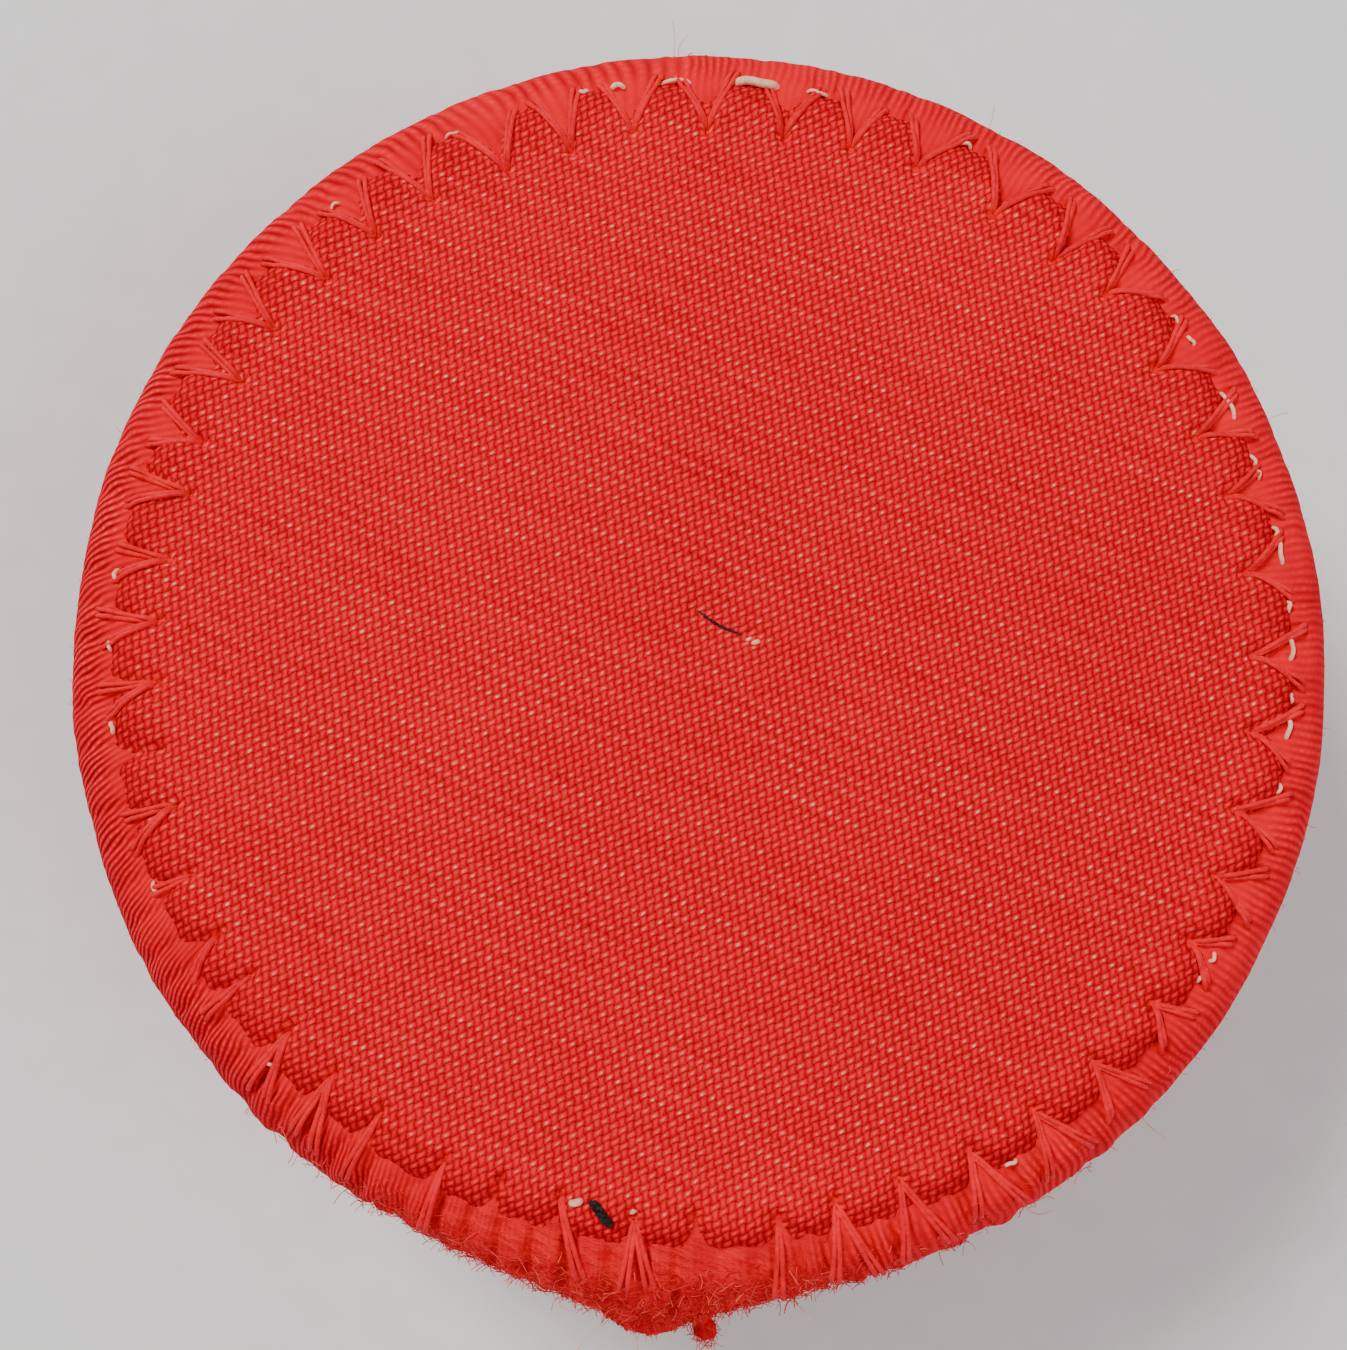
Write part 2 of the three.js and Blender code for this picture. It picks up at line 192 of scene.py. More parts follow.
def ring_waves(theta, seed, low, high, count):
    """A smooth random function round a ring, roughly within -1 to 1."""
    r = rng(seed)
    total = 0
    for _ in range(count):
        total = total + np.sin(r.integers(low, high + 1) * theta + r.uniform(0, TAU))
    return total / math.sqrt(count)


def smooth_step(x):
    x = np.clip(x, 0, 1)
    return x * x * (3 - 2 * x)


# ---- Material helpers ----


class Graph:
    """A material's nodes, with short calls for the sums that its patterns need."""

    def __init__(self, name):
        self.material = bpy.data.materials.new(name)
        self.material.use_nodes = True
        self.nodes = self.material.node_tree.nodes
        self.links = self.material.node_tree.links
        self.shader = self.nodes["Principled BSDF"]
        self.place = self.add("ShaderNodeTexCoord").outputs["Object"]

    def add(self, kind, inputs=None, **settings):
        node = self.nodes.new(kind)
        for key, value in settings.items():
            setattr(node, key, value)
        for name, value in (inputs or {}).items():
            self.put(value, node.inputs[name])
        return node

    def put(self, value, socket):
        if isinstance(value, bpy.types.NodeSocket):
            self.links.new(value, socket)
        else:
            socket.default_value = value

    def math(self, operation, *values):
        return self.add("ShaderNodeMath", dict(enumerate(values)), operation=operation).outputs[0]

    def plus(self, first, *others):
        for other in others:
            first = self.math("ADD", first, other)
        return first

    def minus(self, a, b):
        return self.math("SUBTRACT", a, b)

    def times(self, first, *others):
        for other in others:
            first = self.math("MULTIPLY", first, other)
        return first

    def along(self, direction, place=None):
        places = {0: place or self.place, 1: direction}
        return self.add("ShaderNodeVectorMath", places, operation="DOT_PRODUCT").outputs["Value"]

    def noise(self, scale, detail=2.0, roughness=0.5, place=None, colour=False):
        inputs = {"Vector": place or self.place, "Scale": scale, "Detail": detail, "Roughness": roughness}
        return self.add("ShaderNodeTexNoise", inputs).outputs["Color" if colour else "Fac"]

    def stretch(self, scale, place=None):
        inputs = {"Vector": place or self.place, "Scale": scale}
        return self.add("ShaderNodeMapping", inputs).outputs["Vector"]

    def stretch_along(self, angle, scale, place=None):
        """The place turned by an angle in plan, then scaled along and across it."""
        cos, sin = math.cos(angle), math.sin(angle)
        inputs = {
            "X": self.times(self.along((cos, sin, 0), place), scale[0]),
            "Y": self.times(self.along((-sin, cos, 0), place), scale[1]),
        }
        return self.add("ShaderNodeCombineXYZ", inputs).outputs["Vector"]

    def wobble(self, scale, amount, place=None):
        """The place, moved about by a slow noise."""
        inputs = {0: self.noise(scale, 1.0, colour=True), 1: (amount,) * 3, 2: place or self.place}
        return self.add("ShaderNodeVectorMath", inputs, operation="MULTIPLY_ADD").outputs["Vector"]

    def ramp(self, value, stops):
        node = self.add("ShaderNodeValToRGB", {"Fac": value})
        elements = node.color_ramp.elements
        while len(elements) < len(stops):
            elements.new(0.5)
        for element, (position, colour) in zip(elements, stops):
            element.position = position
            element.color = (*colour, 1)
        return node.outputs["Color"]

    def mix(self, share, a, b, blend="MIX"):
        a, b = ((*value, 1) if isinstance(value, tuple) else value for value in (a, b))
        node = self.add("ShaderNodeMix", data_type="RGBA", blend_type=blend)
        for value, socket in ((share, 0), (a, 6), (b, 7)):
            self.put(value, node.inputs[socket])
        return node.outputs[2]

    def band(self, value, low, high):
        """0 below low, 1 above high, smooth between."""
        inputs = {"Value": value, "From Min": low, "From Max": high}
        return self.add("ShaderNodeMapRange", inputs, interpolation_type="SMOOTHSTEP").outputs["Result"]

    def bump(self, height, distance, strength=1.0):
        inputs = {"Strength": strength, "Distance": distance, "Height": height}
        return self.add("ShaderNodeBump", inputs).outputs["Normal"]

    def finish(self, colour, roughness, normal=None, sheen=0.0, sheen_tint=(1, 1, 1), specular=0.3):
        inputs = self.shader.inputs
        self.put(colour if not isinstance(colour, tuple) else (*colour, 1), inputs["Base Color"])
        self.put(roughness, inputs["Roughness"])
        if normal:
            self.put(normal, inputs["Normal"])
        inputs["Sheen Weight"].default_value = sheen
        inputs["Sheen Roughness"].default_value = 0.45
        inputs["Sheen Tint"].default_value = (*sheen_tint, 1)
        inputs["Specular IOR Level"].default_value = specular
        return self.material

    def frayed(self):
        """1 near the side's join, 0 away from it."""
        tip = (CUSHION_R * MM * math.cos(TIP_ANGLE), CUSHION_R * MM * math.sin(TIP_ANGLE), SEAM_Z * MM)
        inputs = {0: self.wobble(150, 4 * MM), 1: tip}
        away = self.add("ShaderNodeVectorMath", inputs, operation="DISTANCE").outputs["Value"]
        return self.minus(1.0, self.band(away, 7 * MM, 15 * MM))

    def radius(self, place=None):
        """The distance from the cushion's axis, in metres."""
        inputs = {0: place or self.place, 1: (1, 1, 0)}
        flat = self.add("ShaderNodeVectorMath", inputs, operation="MULTIPLY").outputs["Vector"]
        return self.add("ShaderNodeVectorMath", {0: flat}, operation="LENGTH").outputs["Value"]


# The cloth lies skewed: one set of threads stands nearly along Y, the other climbs to the right.
WARP_ANGLE, WARP_STEP = math.radians(96), 0.40 * MM
WEFT_ANGLE, WEFT_STEP = math.radians(24), 0.445 * MM
SLUB_ANGLE = -math.radians(27)  # the thick threads' crowns line up this way


def across_threads():
    """The two directions whose dot product with a place counts the threads crossed."""
    a = np.array([math.cos(WEFT_ANGLE), math.sin(WEFT_ANGLE)]) * WEFT_STEP
    b = np.array([math.cos(WARP_ANGLE), math.sin(WARP_ANGLE)]) * WARP_STEP
    dual = np.linalg.inv(np.stack([a, b], axis=1))
    return (*dual[0], 0), (*dual[1], 0)


def plain_weave(g, place):
    """The height of a plain weave from 0 to 1, and how far the weft lies over the warp from 0 to 1."""
    sine = [g.math("SINE", g.times(g.along(crossed, place), math.pi)) for crossed in across_threads()]
    over = g.times(*sine, 0.5)
    round_warp, round_weft = (g.math("POWER", g.math("ABSOLUTE", value), 0.5) for value in sine)
    weft_over = g.minus(0.5, over)
    warp = g.times(round_warp, g.plus(0.5, over))
    weft = g.times(round_weft, weft_over)
    return g.math("MAXIMUM", warp, weft), weft_over


def red_cotton(name, fade_from, fade_to):
    """Red plain-weave cotton with painted shade in the pits between threads and pale painted highlights on
    the thread crowns, which fade out towards the sewn edge.
    """
    g = Graph(name)
    place = g.wobble(1400, 0.10 * MM, g.wobble(180, 0.16 * MM))
    height, weft_over = plain_weave(g, place)
    fleck = g.noise(1.0, 2.0, 0.6, place=g.stretch((2100, 2100, 300), place))
    slubs = g.noise(1.0, 2.0, place=g.stretch_along(SLUB_ANGLE, (150, 2300), place))
    lift = g.plus(g.times(fleck, 0.80), g.times(slubs, 0.72))
    # Painted shade: the colour darkens from the thread crowns down into the pits between them.
    shade = g.times(height, g.plus(0.68, g.times(weft_over, 0.40)))
    inner = g.minus(1.0, g.band(g.radius(), fade_from, fade_to))
    crown = g.times(shade, g.plus(0.11, lift), g.plus(0.70, g.times(inner, 0.30)))
    colour = g.ramp(crown, [
        (0.0, (0.12, 0.0, 0.003)),
        (0.26, (0.62, 0.0, 0.010)),
        (0.48, (0.98, 0.0, 0.018)),
        (0.72, (1.0, 0.030, 0.036)),
        (1.0, (1.0, 0.13, 0.10)),
    ])
    rows = g.band(g.noise(1.0, 2.0, place=g.stretch_along(SLUB_ANGLE, (90, 1500), place)), 0.50, 0.66)
    # Painted highlights: pale spots on the weft crowns, in rows and flecks.
    crown_highlight = g.times(g.band(g.times(height, weft_over), 0.62, 0.86), g.band(fleck, 0.42, 0.62))
    crown_highlight = g.times(crown_highlight, g.plus(0.16, g.times(rows, 0.80)), inner)
    colour = g.mix(crown_highlight, colour, (1.0, 0.40, 0.27))
    tone = g.ramp(g.noise(55, 2.0), [(0.3, (0.90, 0.90, 0.90)), (0.7, (1.0, 1.0, 1.0))])
    colour = g.mix(1.0, colour, tone, "MULTIPLY")
    relief = g.plus(g.times(height, g.plus(0.55, fleck)), g.times(g.noise(5200, 2.0), 0.25))
    return g.finish(colour, 0.85, g.bump(relief, 0.16 * MM), specular=0.03)


RIBS = 486  # threads of the side's cloth, counted round the cushion


def rib_phase(g, place, leftward):
    """The side's ribs as an angle that turns once a rib. They lean most on the left."""
    turn = g.math("ARCTAN2", g.along((0, 1, 0), place), g.along((1, 0, 0), place))
    by_height = g.times(g.along((0, 0, 1), place), g.plus(250.0, g.times(leftward, 600.0)))
    by_radius = g.times(g.radius(place), g.plus(250.0, g.times(leftward, 7600.0)))
    return g.plus(g.times(turn, RIBS), g.minus(by_height, by_radius))


def gathered_cotton():
    """The side's cloth: its threads run up and down as fine ribs, which lean and wander."""
    g = Graph("gathered_cotton")
    place = g.wobble(520, 0.45 * MM, g.wobble(110, 1.3 * MM))
    radius = g.radius(place)
    leftward = g.math("MAXIMUM", g.math("DIVIDE", g.along((-1, 0, 0), place), radius), 0.0)
    phase = rib_phase(g, place, leftward)
    rib = g.times(g.plus(g.math("SINE", phase), 1.0), 0.5)
    every_other = g.times(g.math("ROUND", g.math("DIVIDE", phase, TAU)), math.pi)
    along = g.plus(g.times(g.minus(g.along((0, 0, 1), place), radius), TAU / (0.62 * MM)), every_other)
    cross = g.times(g.plus(g.math("SINE", along), 1.0), 0.5)
    thread = g.times(g.math("POWER", rib, 0.7), g.plus(0.70, g.times(cross, 0.30)))
    patchy = g.band(g.noise(330, 2.0, place=g.stretch((1, 1, 0.5))), 0.30, 0.58)
    rolled = g.plus(0.30, g.times(g.band(g.radius(), 31.0 * MM, 32.4 * MM), 0.70))
    shown = g.times(rolled, g.plus(0.30, g.plus(g.times(patchy, 0.26), g.times(leftward, 0.40))))
    thread = g.plus(0.58, g.times(g.minus(thread, 0.58), shown))
    frayed = g.frayed()
    matting = g.wobble(500, 0.9 * MM, g.stretch_along(-math.radians(20), (700, 2600)))
    tangle = g.noise(1.0, 4.0, 0.7, place=matting)
    matted = g.times(tangle, frayed)
    clear = g.times(thread, g.minus(1.0, g.times(frayed, 0.8)))
    height = g.plus(clear, g.times(matted, 1.9))
    shade = g.times(g.plus(clear, g.times(matted, 0.80)), g.plus(0.50, g.times(g.noise(260, 3.0, 0.6), 0.9)))
    colour = g.ramp(shade, [
        (0.0, (0.26, 0.0, 0.005)),
        (0.30, (0.62, 0.0, 0.011)),
        (0.58, (0.86, 0.0, 0.016)),
        (0.80, (0.99, 0.012, 0.024)),
        (1.0, (1.0, 0.10, 0.075)),
    ])
    warm = g.times(frayed, g.band(tangle, 0.42, 0.66))
    colour = g.mix(g.times(warm, 0.45), colour, (1.0, 0.030, 0.022))
    relief = g.plus(height, g.times(g.noise(4200, 3.0, 0.7), 0.22))
    return g.finish(colour, 0.8, g.bump(relief, 0.15 * MM), specular=0.03)


def sewing_thread(name, dark, light, sheen=0.15, roughness=0.6):
    """Twisted sewing thread: a fine uneven twist across a slow change of tone."""
    g = Graph(name)
    twist = g.noise(3600, 2.0, 0.6)
    slow = g.noise(500, 1.0)
    share = g.plus(g.times(twist, 0.65), g.times(slow, 0.35))
    colour = g.ramp(share, [(0.35, dark), (0.65, light)])
    return g.finish(colour, roughness, g.bump(twist, 0.05 * MM, 0.7), sheen, (1, 0.4, 0.3), 0.12)


def black_webbing():
    """Woven strap: chevron ribs along its length, with a slight dusty sheen."""
    g = Graph("black_webbing")
    bands = g.times(g.along((1 / (1.9 * MM), 0, 0)), TAU)
    lean = g.times(g.math("ABSOLUTE", g.math("SINE", g.times(bands, 0.5))), 2.2)
    rows = g.plus(g.times(g.along((0, 1 / (0.62 * MM), 0)), TAU), lean)
    rib = g.times(g.plus(g.math("SINE", rows), 1.0), 0.5)
    cord = g.math("ABSOLUTE", g.math("SINE", g.times(g.along((1 / (0.95 * MM), 0, 0)), math.pi)))
    relief = g.plus(g.times(rib, 0.6), g.times(cord, 0.6))
    # Painted shade: darker in the grooves and lighter on the rib tops, in patches from a noise.
    rib_shade = g.times(relief, g.plus(0.55, g.times(g.noise(700, 3.0), 0.8)))
    colour = g.ramp(rib_shade, [
        (0.2, (0.006, 0.006, 0.007)),
        (0.6, (0.022, 0.022, 0.025)),
        (1.0, (0.07, 0.07, 0.075)),
    ])
    return g.finish(colour, 0.74, g.bump(relief, 0.16 * MM, 0.9), 0.3, (0.7, 0.75, 0.85), 0.3)


def fastener_tape(name, cell, hook):
    """Hook tape has rows of stiff points, loop tape a brushed tangle."""
    g = Graph(name)
    if hook:
        x = g.math("SINE", g.times(g.along((1 / cell, 0, 0)), TAU))
        y = g.math("SINE", g.times(g.along((0, 1 / cell, 0)), TAU))
        relief = g.math("POWER", g.times(g.math("ABSOLUTE", x), g.math("ABSOLUTE", y)), 0.7)
    else:
        relief = g.noise(1 / cell * 1.6, 4.0, 0.75, place=g.wobble(900, 0.5 * MM))
    colour = g.ramp(relief, [(0.2, (0.007, 0.007, 0.008)), (0.8, (0.05, 0.05, 0.055))])
    return g.finish(colour, 0.5 if hook else 0.85, g.bump(relief, 0.25 * MM, 0.9), 0.0 if hook else 0.5)


def wool_wadding():
    g = Graph("wool_wadding")
    strands = g.noise(380, 5.0, 0.7, place=g.wobble(120, 3 * MM))
    colour = g.ramp(strands, [(0.3, (0.55, 0.48, 0.38)), (0.7, (0.86, 0.81, 0.72))])
    return g.finish(colour, 0.95, g.bump(strands, 0.6 * MM), 0.4)


def buff_card():
    g = Graph("buff_card")
    fibres = g.noise(1.0, 4.0, 0.65, place=g.stretch((900, 2600, 900)))
    colour = g.ramp(fibres, [(0.3, (0.47, 0.39, 0.27)), (0.7, (0.66, 0.57, 0.42))])
    return g.finish(colour, 0.9, g.bump(fibres, 0.05 * MM, 0.5))


FACE_COTTON = red_cotton("face_cotton", 28.6 * MM, 31.0 * MM)
BASE_COTTON = red_cotton("base_cotton", 27.6 * MM, 30.2 * MM)
SIDE_COTTON = gathered_cotton()
RED_THREAD = sewing_thread("red_thread", (0.72, 0.0, 0.012), (1.0, 0.006, 0.024), 0.0)
RED_FIBRE = sewing_thread("red_fibre", (0.62, 0.0, 0.010), (1.0, 0.030, 0.030), 0.0, 0.8)
LIGHT_FIBRE = sewing_thread("light_fibre", (1.0, 0.04, 0.035), (1.0, 0.17, 0.12), 0.0, 0.8)
PALE_FIBRE = sewing_thread("pale_fibre", (0.9, 0.30, 0.20), (0.98, 0.66, 0.5), 0.2, 0.7)
CREAM_THREAD = sewing_thread("cream_thread", (0.85, 0.36, 0.22), (1.0, 0.70, 0.48), 0.05, 0.5)
BLACK_THREAD = sewing_thread("black_thread", (0.004, 0.003, 0.003), (0.04, 0.035, 0.035), 0.1, 0.5)
WEBBING = black_webbing()
HOOKS = fastener_tape("hook_tape", 0.9 * MM, True)
LOOPS = fastener_tape("loop_tape", 0.9 * MM, False)
WOOL = wool_wadding()
CARD = buff_card()

# ---- Cloth discs held down by hand stitches ----


class SewnDisc:
    """A round of cloth whose edge puffs up into scallops between hand stitches."""

    def __init__(self, edge_r, stitch_r, seed, puff, crown, density):
        r = rng(seed)
        self.edge_r, self.crown, self.puff = edge_r, crown, puff
        self.angle = stitch_angles(TEETH, seed, 0.13, density)
        drift = 0.35 * np.cos(self.angle) - 0.75 * np.sin(self.angle)
        self.in_r = stitch_r + (drift if density else 0) + r.uniform(-0.35, 0.3, TEETH)
        self.out_r = edge_r - 0.25 + r.uniform(-0.25, 0.15, TEETH)
        self.rise = puff * r.uniform(0.7, 1.25, TEETH)
        crowded = 0.5 + 0.5 * np.cos(self.angle - DENSE_AT)
        self.spread = SPREAD * (1 - 0.40 * crowded**2) * r.uniform(0.85, 1.12, TEETH)
        self.lean = 0.30 * crowded**4 + r.uniform(-0.05, 0.05, TEETH)

    def scallop(self, theta):
        """Which stitch starts the scallop, and how far along it this is, from 0 to 1."""
        turned = np.mod(theta - self.angle[0], TAU)
        starts = np.append(self.angle - self.angle[0], TAU)
        i = np.clip(np.searchsorted(starts, turned, side="right") - 1, 0, TEETH - 1)
        return i, (turned - starts[i]) / (starts[i + 1] - starts[i])

    def height(self, r, theta):
        """Height above the seam, in millimetres."""
        i, s = self.scallop(theta)
        after = (i + 1) % TEETH
        in_r = self.in_r[i] + (self.in_r[after] - self.in_r[i]) * s
        leg = np.minimum(s / (self.spread[i] + 0.04), (1 - s) / (self.spread[after] + 0.04))
        arch = np.sin(math.pi / 2 * np.clip(leg, 0, 1)) ** 0.85
        rim = in_r + (self.out_r[i] - in_r) * arch
        inside = rim - r
        body = self.crown * (1 - (r / self.edge_r) ** 2)
        swell = self.rise[i] * (1 - np.exp(-np.clip(inside, 0, 9) / 0.34))
        swell = swell * np.exp(-(np.clip(inside - 0.5, 0, 30) / 1.5) ** 2)
        swell = swell * (0.35 + 0.65 * np.sin(math.pi * s))
        drop = -0.55 * self.puff * (1 - np.exp(np.clip(inside, -9, 0) / 0.3))
        near = np.minimum(s, 1 - s) * (TAU / TEETH) * r
        hole = -0.75 * self.puff * np.exp(-((near / 0.34) ** 2) - ((r - in_r) / 0.42) ** 2)
        crease = -0.42 * self.puff * np.exp(-((near / 0.30) ** 2)) * np.exp(-np.clip(in_r - r, 0, 9) / 0.9)
        crease = crease * (r < in_r)
        edge = -0.28 * smooth_step((r - self.edge_r + 0.3) / 0.6)
        return body + swell + drop + hole + crease + edge


def face_dimple(x, y, height, at, depth, width):
    return height - depth * np.exp(-((x - at[0]) ** 2 + (y - at[1]) ** 2) / width**2)


COLUMNS_PER_STITCH = 16
CLOTH_T = 0.45
HEM_W = 4  # turned-under edge of the face and the base
BASE_STITCH_R = 27.8
FACE_DISC = SewnDisc(FACE_R, STITCH_IN_R, 11, 0.62, CROWN, DENSITY)
BASE_DISC = SewnDisc(BASE_R, BASE_STITCH_R, 12, 0.3, 0.0, 0.0)
CENTRE_TACK = np.array([[-0.4, 1.4], [2.3, -0.1]])
EDGE_TACK = np.array([[-5.6, -28.9], [-4.7, -30.0]])


def face_surface(x, y):
    """Height of the face cloth, in the frame."""
    r, theta = np.hypot(x, y), np.arctan2(y, x)
    z = FACE_DISC.height(r, theta)
    z = z + 0.07 * np.sin(0.31 * x + 0.9) * np.sin(0.27 * y + 0.4)
    z = face_dimple(x, y, z, CENTRE_TACK.mean(0), 0.30, 1.9)
    for end in CENTRE_TACK:
        z = face_dimple(x, y, z, end, 0.32, 0.42)
    for end in EDGE_TACK:
        z = face_dimple(x, y, z, end, 0.25, 0.45)
    return SEAM_Z + z


def base_surface(x, y):
    """Height of the base cloth, which faces down."""
    z = BASE_DISC.height(np.hypot(x, y), np.arctan2(y, x))
    return BASE_Z + 0.05 - np.minimum(z, 0.0) - 0.04 * np.maximum(z, 0)


def disc_piece(name, surface, edge_r, thickness, radii, material):
    """A closed disc of cloth with its worked side on the given surface and its edge turned under."""
    columns = TEETH * COLUMNS_PER_STITCH
    theta = np.arange(columns) / columns * TAU
    side = 1 if thickness > 0 else -1
    rows = []
    for r in radii:
        x, y = r * np.cos(theta), r * np.sin(theta)
        rows.append(np.stack([x, y, surface(x, y)], axis=-1))
    edge_z = rows[-1][:, 2].mean()
    hem = edge_r - HEM_W
    for r, down in ((edge_r - 0.15, 0.35), (edge_r - 0.8, 0.75), (hem, 1.0), (hem - 0.2, 0.7)):
        rows.append(points(r, theta, edge_z - side * down))
    for r in (hem - 0.6, hem / 2, 1.2):
        x, y = r * np.cos(theta), r * np.sin(theta)
        rows.append(np.stack([x, y, surface(x, y) - thickness], axis=-1))
    verts = np.concatenate(rows)
    first, last = len(verts), len(verts) + 1
    centre_z = float(surface(np.array(0.0), np.array(0.0)))
    verts = np.concatenate([verts, [[0, 0, centre_z], [0, 0, centre_z - thickness]]])
    faces = grid_faces(len(rows), columns)
    faces += fan(first, 0, columns)
    faces += fan(last, (len(rows) - 1) * columns, columns)
    return piece_from(name, verts, faces, material)


def make_face():
    inner = np.concatenate([[0.4, 0.8], np.arange(1.2, 6, 0.3), np.arange(6, 26, 1.0)])
    outer = np.arange(26, FACE_R + 0.22, 0.16)
    radii = np.concatenate([inner, outer])
    face = disc_piece("face_cover_cloth", face_surface, FACE_R, CLOTH_T, radii, FACE_COTTON)
    declare(face, "cushion", "red_cotton", "face_cover")


def make_base():
    radii = np.concatenate([[0.8], np.arange(3, 24, 3.0), np.arange(24, BASE_R + 0.02, 0.3)])
    base = disc_piece("base_cover_cloth", base_surface, BASE_R, -CLOTH_T, radii, BASE_COTTON)
    declare(base, "cushion", "red_cotton", "base_cover")


# ---- The gathered side ----
BAND_COLUMNS = 2352
BAND_TOP_R, BAND_LOW_R = 32.1, 31.5
BAND_DROP = 0.35  # from each seam to the side's edge
WALL_T = 0.75  # the side with its gathers
SHOULDER_SHARE = 0.42  # of the side's height, taken by each half of its bulge
HEM_ROWS, TOP_ROWS, LOW_ROWS = 6, 18, 10  # rows of the side's profile
BULGE_DOWN, BULGE_SPREAD = 0.32, 0.26  # where on the side the point stands out, and over how much


def band_profile():
    """[radius, height, share of the way down] of the side's outline.

    It starts as a hem under the face's scallops, rolls over the seam and bulges out to the base."""
    depth = (SEAM_Z - BASE_Z) * SHOULDER_SHARE
    t = np.linspace(0, 1, TOP_ROWS) ** 1.25 * math.pi / 2
    top = np.stack([BAND_TOP_R + (CUSHION_R - BAND_TOP_R) * np.sin(t),
                    SEAM_Z - BAND_DROP - depth * (1 - np.cos(t))], axis=1)
    t = np.linspace(1, 0, LOW_ROWS) * math.pi / 2
    low = np.stack([BAND_LOW_R + (CUSHION_R - BAND_LOW_R) * np.sin(t),
                    BASE_Z + BAND_DROP + depth * (1 - np.cos(t))], axis=1)
    hem_r = np.array([27.6, 28.1, 29.2, 30.3, FACE_R, FACE_R + 0.45])
    below = np.array([1.0, 0.42, 0.34, 0.27, 0.20, 0.22])
    hem = np.stack([hem_r, SEAM_Z + CROWN * (1 - (hem_r / FACE_R) ** 2) - below], axis=1)
    tuck = [[BASE_R + 0.4, BASE_Z + 0.7]]
    outline = np.concatenate([hem, top, low, tuck])
    down = (SEAM_Z - outline[:, 1]) / (SEAM_Z - BASE_Z)
    return outline, np.clip(down, 0, 1)


def tip_bulge(theta):
    """How far the side's point stands out: two straight flanks that leave the circle as tangents."""
    away = np.mod(theta - TIP_ANGLE + math.pi, TAU) - math.pi
    turn = np.clip(TIP_REACH - np.sqrt(away**2 + math.radians(0.8) ** 2), 0, None)
    return CUSHION_R * (1 / np.cos(turn) - 1)


def bulge_share(down):
    """How much of the point shows this far down the side."""
    return np.exp(-((down - BULGE_DOWN) / BULGE_SPREAD) ** 2)


def fray(theta):
    """How frayed the side's cloth is: most near the join, none at the top."""
    away = np.abs(np.mod(theta - TIP_ANGLE + math.pi, TAU) - math.pi)
    return smooth_step(1.35 - away / math.radians(48))


def gather_relief(theta, down):
    """Ribs and hollows in the side's cloth, in millimetres along its normal."""
    turned = theta + 0.05 * down + 0.004 * ring_waves(theta, 31, 20, 90, 6)
    fine = np.sin(243 * turned + 2.0 * ring_waves(theta, 32, 30, 110, 5))
    middle = ring_waves(turned, 34, 50, 110, 7)
    slow = ring_waves(theta + 0.1 * down, 35, 9, 30, 6)
    near_seam = np.exp(-((down - 0.06) / 0.18) ** 2)
    left = 0.5 - 0.5 * np.cos(theta)
    relief = 0.018 * fine * (0.3 + 0.7 * left)
    relief = relief + 0.04 * middle * (0.2 + 0.5 * near_seam) * (0.5 + 0.5 * left) + 0.05 * slow
    lumps = ring_waves(theta + 0.15 * down, 36, 60, 150, 8)
    lumps = lumps * np.sin(9 * down + 3 * ring_waves(theta, 37, 8, 30, 4))
    return relief + 0.34 * fray(theta) * lumps * (0.2 + 0.8 * near_seam)


def stitch_pull(theta, down):
    """How far the stitches pull the side's cloth in below the seam."""
    i, s = FACE_DISC.scallop(theta)
    spread = FACE_DISC.spread
    aside = np.minimum(np.abs(s - spread[i]), np.abs(1 - s - spread[(i + 1) % TEETH]))
    aside = aside * TAU / TEETH * CUSHION_R
    frayed = fray(theta)
    reach = 0.05 + 0.07 * frayed
    return (0.26 + 0.35 * frayed) * np.exp(-((aside / 0.42) ** 2)) * np.exp(-((down - 0.03) / reach) ** 2)


def band_point(theta, outline, down):
    """The side's surface at these angles for one row of its profile."""
    r, z = outline
    free = smooth_step(down / 0.05) * smooth_step((1 - down) / 0.06)
    relief = gather_relief(theta, down) * (0.35 + 0.65 * free) - stitch_pull(theta, down)
    if r < FACE_R:
        relief = relief * 0.3
    bulge = tip_bulge(theta) * bulge_share(down)
    slope = math.pi / 2 * np.clip(1 - down / SHOULDER_SHARE, 0, 1)
    radius = r + relief * math.cos(slope) + bulge
    height = z + relief * math.sin(slope) * 0.8
    return points(radius, theta, height)


def make_band():
    theta = np.arange(BAND_COLUMNS) / BAND_COLUMNS * TAU
    outline, down = band_profile()
    rows = [band_point(theta, o, d) for o, d in zip(outline, down)]
    for o in outline[::-1][[1, 8, 20, 28]]:
        rows.append(points(o[0] - WALL_T, theta, o[1]))
    verts = np.concatenate(rows)
    faces = grid_faces(len(rows), BAND_COLUMNS, wrap_rows=True)
    band = piece_from("side_band_cloth", verts, faces, SIDE_COTTON)
    declare(band, "cushion", "red_cotton", "side_band")


# ---- Hand stitches ----
FACE_THREAD_R = 0.135
BASE_THREAD_R = 0.11


def leg_path(surface, start, end, sag, steps=14):
    """One strand lying on the cloth from start to end, each [radius, angle], dipping in at both."""
    t = np.linspace(0, 1, steps)
    r = start[0] + (end[0] - start[0]) * t
    theta = start[1] + (end[1] - start[1]) * t
    x, y = r * np.cos(theta), r * np.sin(theta)
    lie = surface(x, y)
    ground = np.maximum(lie, np.linspace(lie[0], lie[-1], steps))
    dip = 0.38 * np.exp(-((t / 0.07) ** 2)) + 0.45 * np.exp(-(((1 - t) / 0.08) ** 2))
    z = ground + sag - dip
    return np.stack([x, y, z], axis=-1)


def side_height(r, theta):
    """The height of the upper half of the side at these places in plan."""
    outline, down = band_profile()
    upper = slice(HEM_ROWS, 20)
    swell = bulge_share(down[upper])
    return np.array([np.interp(here, outline[upper, 0] + tip_bulge(turn) * swell, outline[upper, 1])
                     for here, turn in zip(r, theta)])


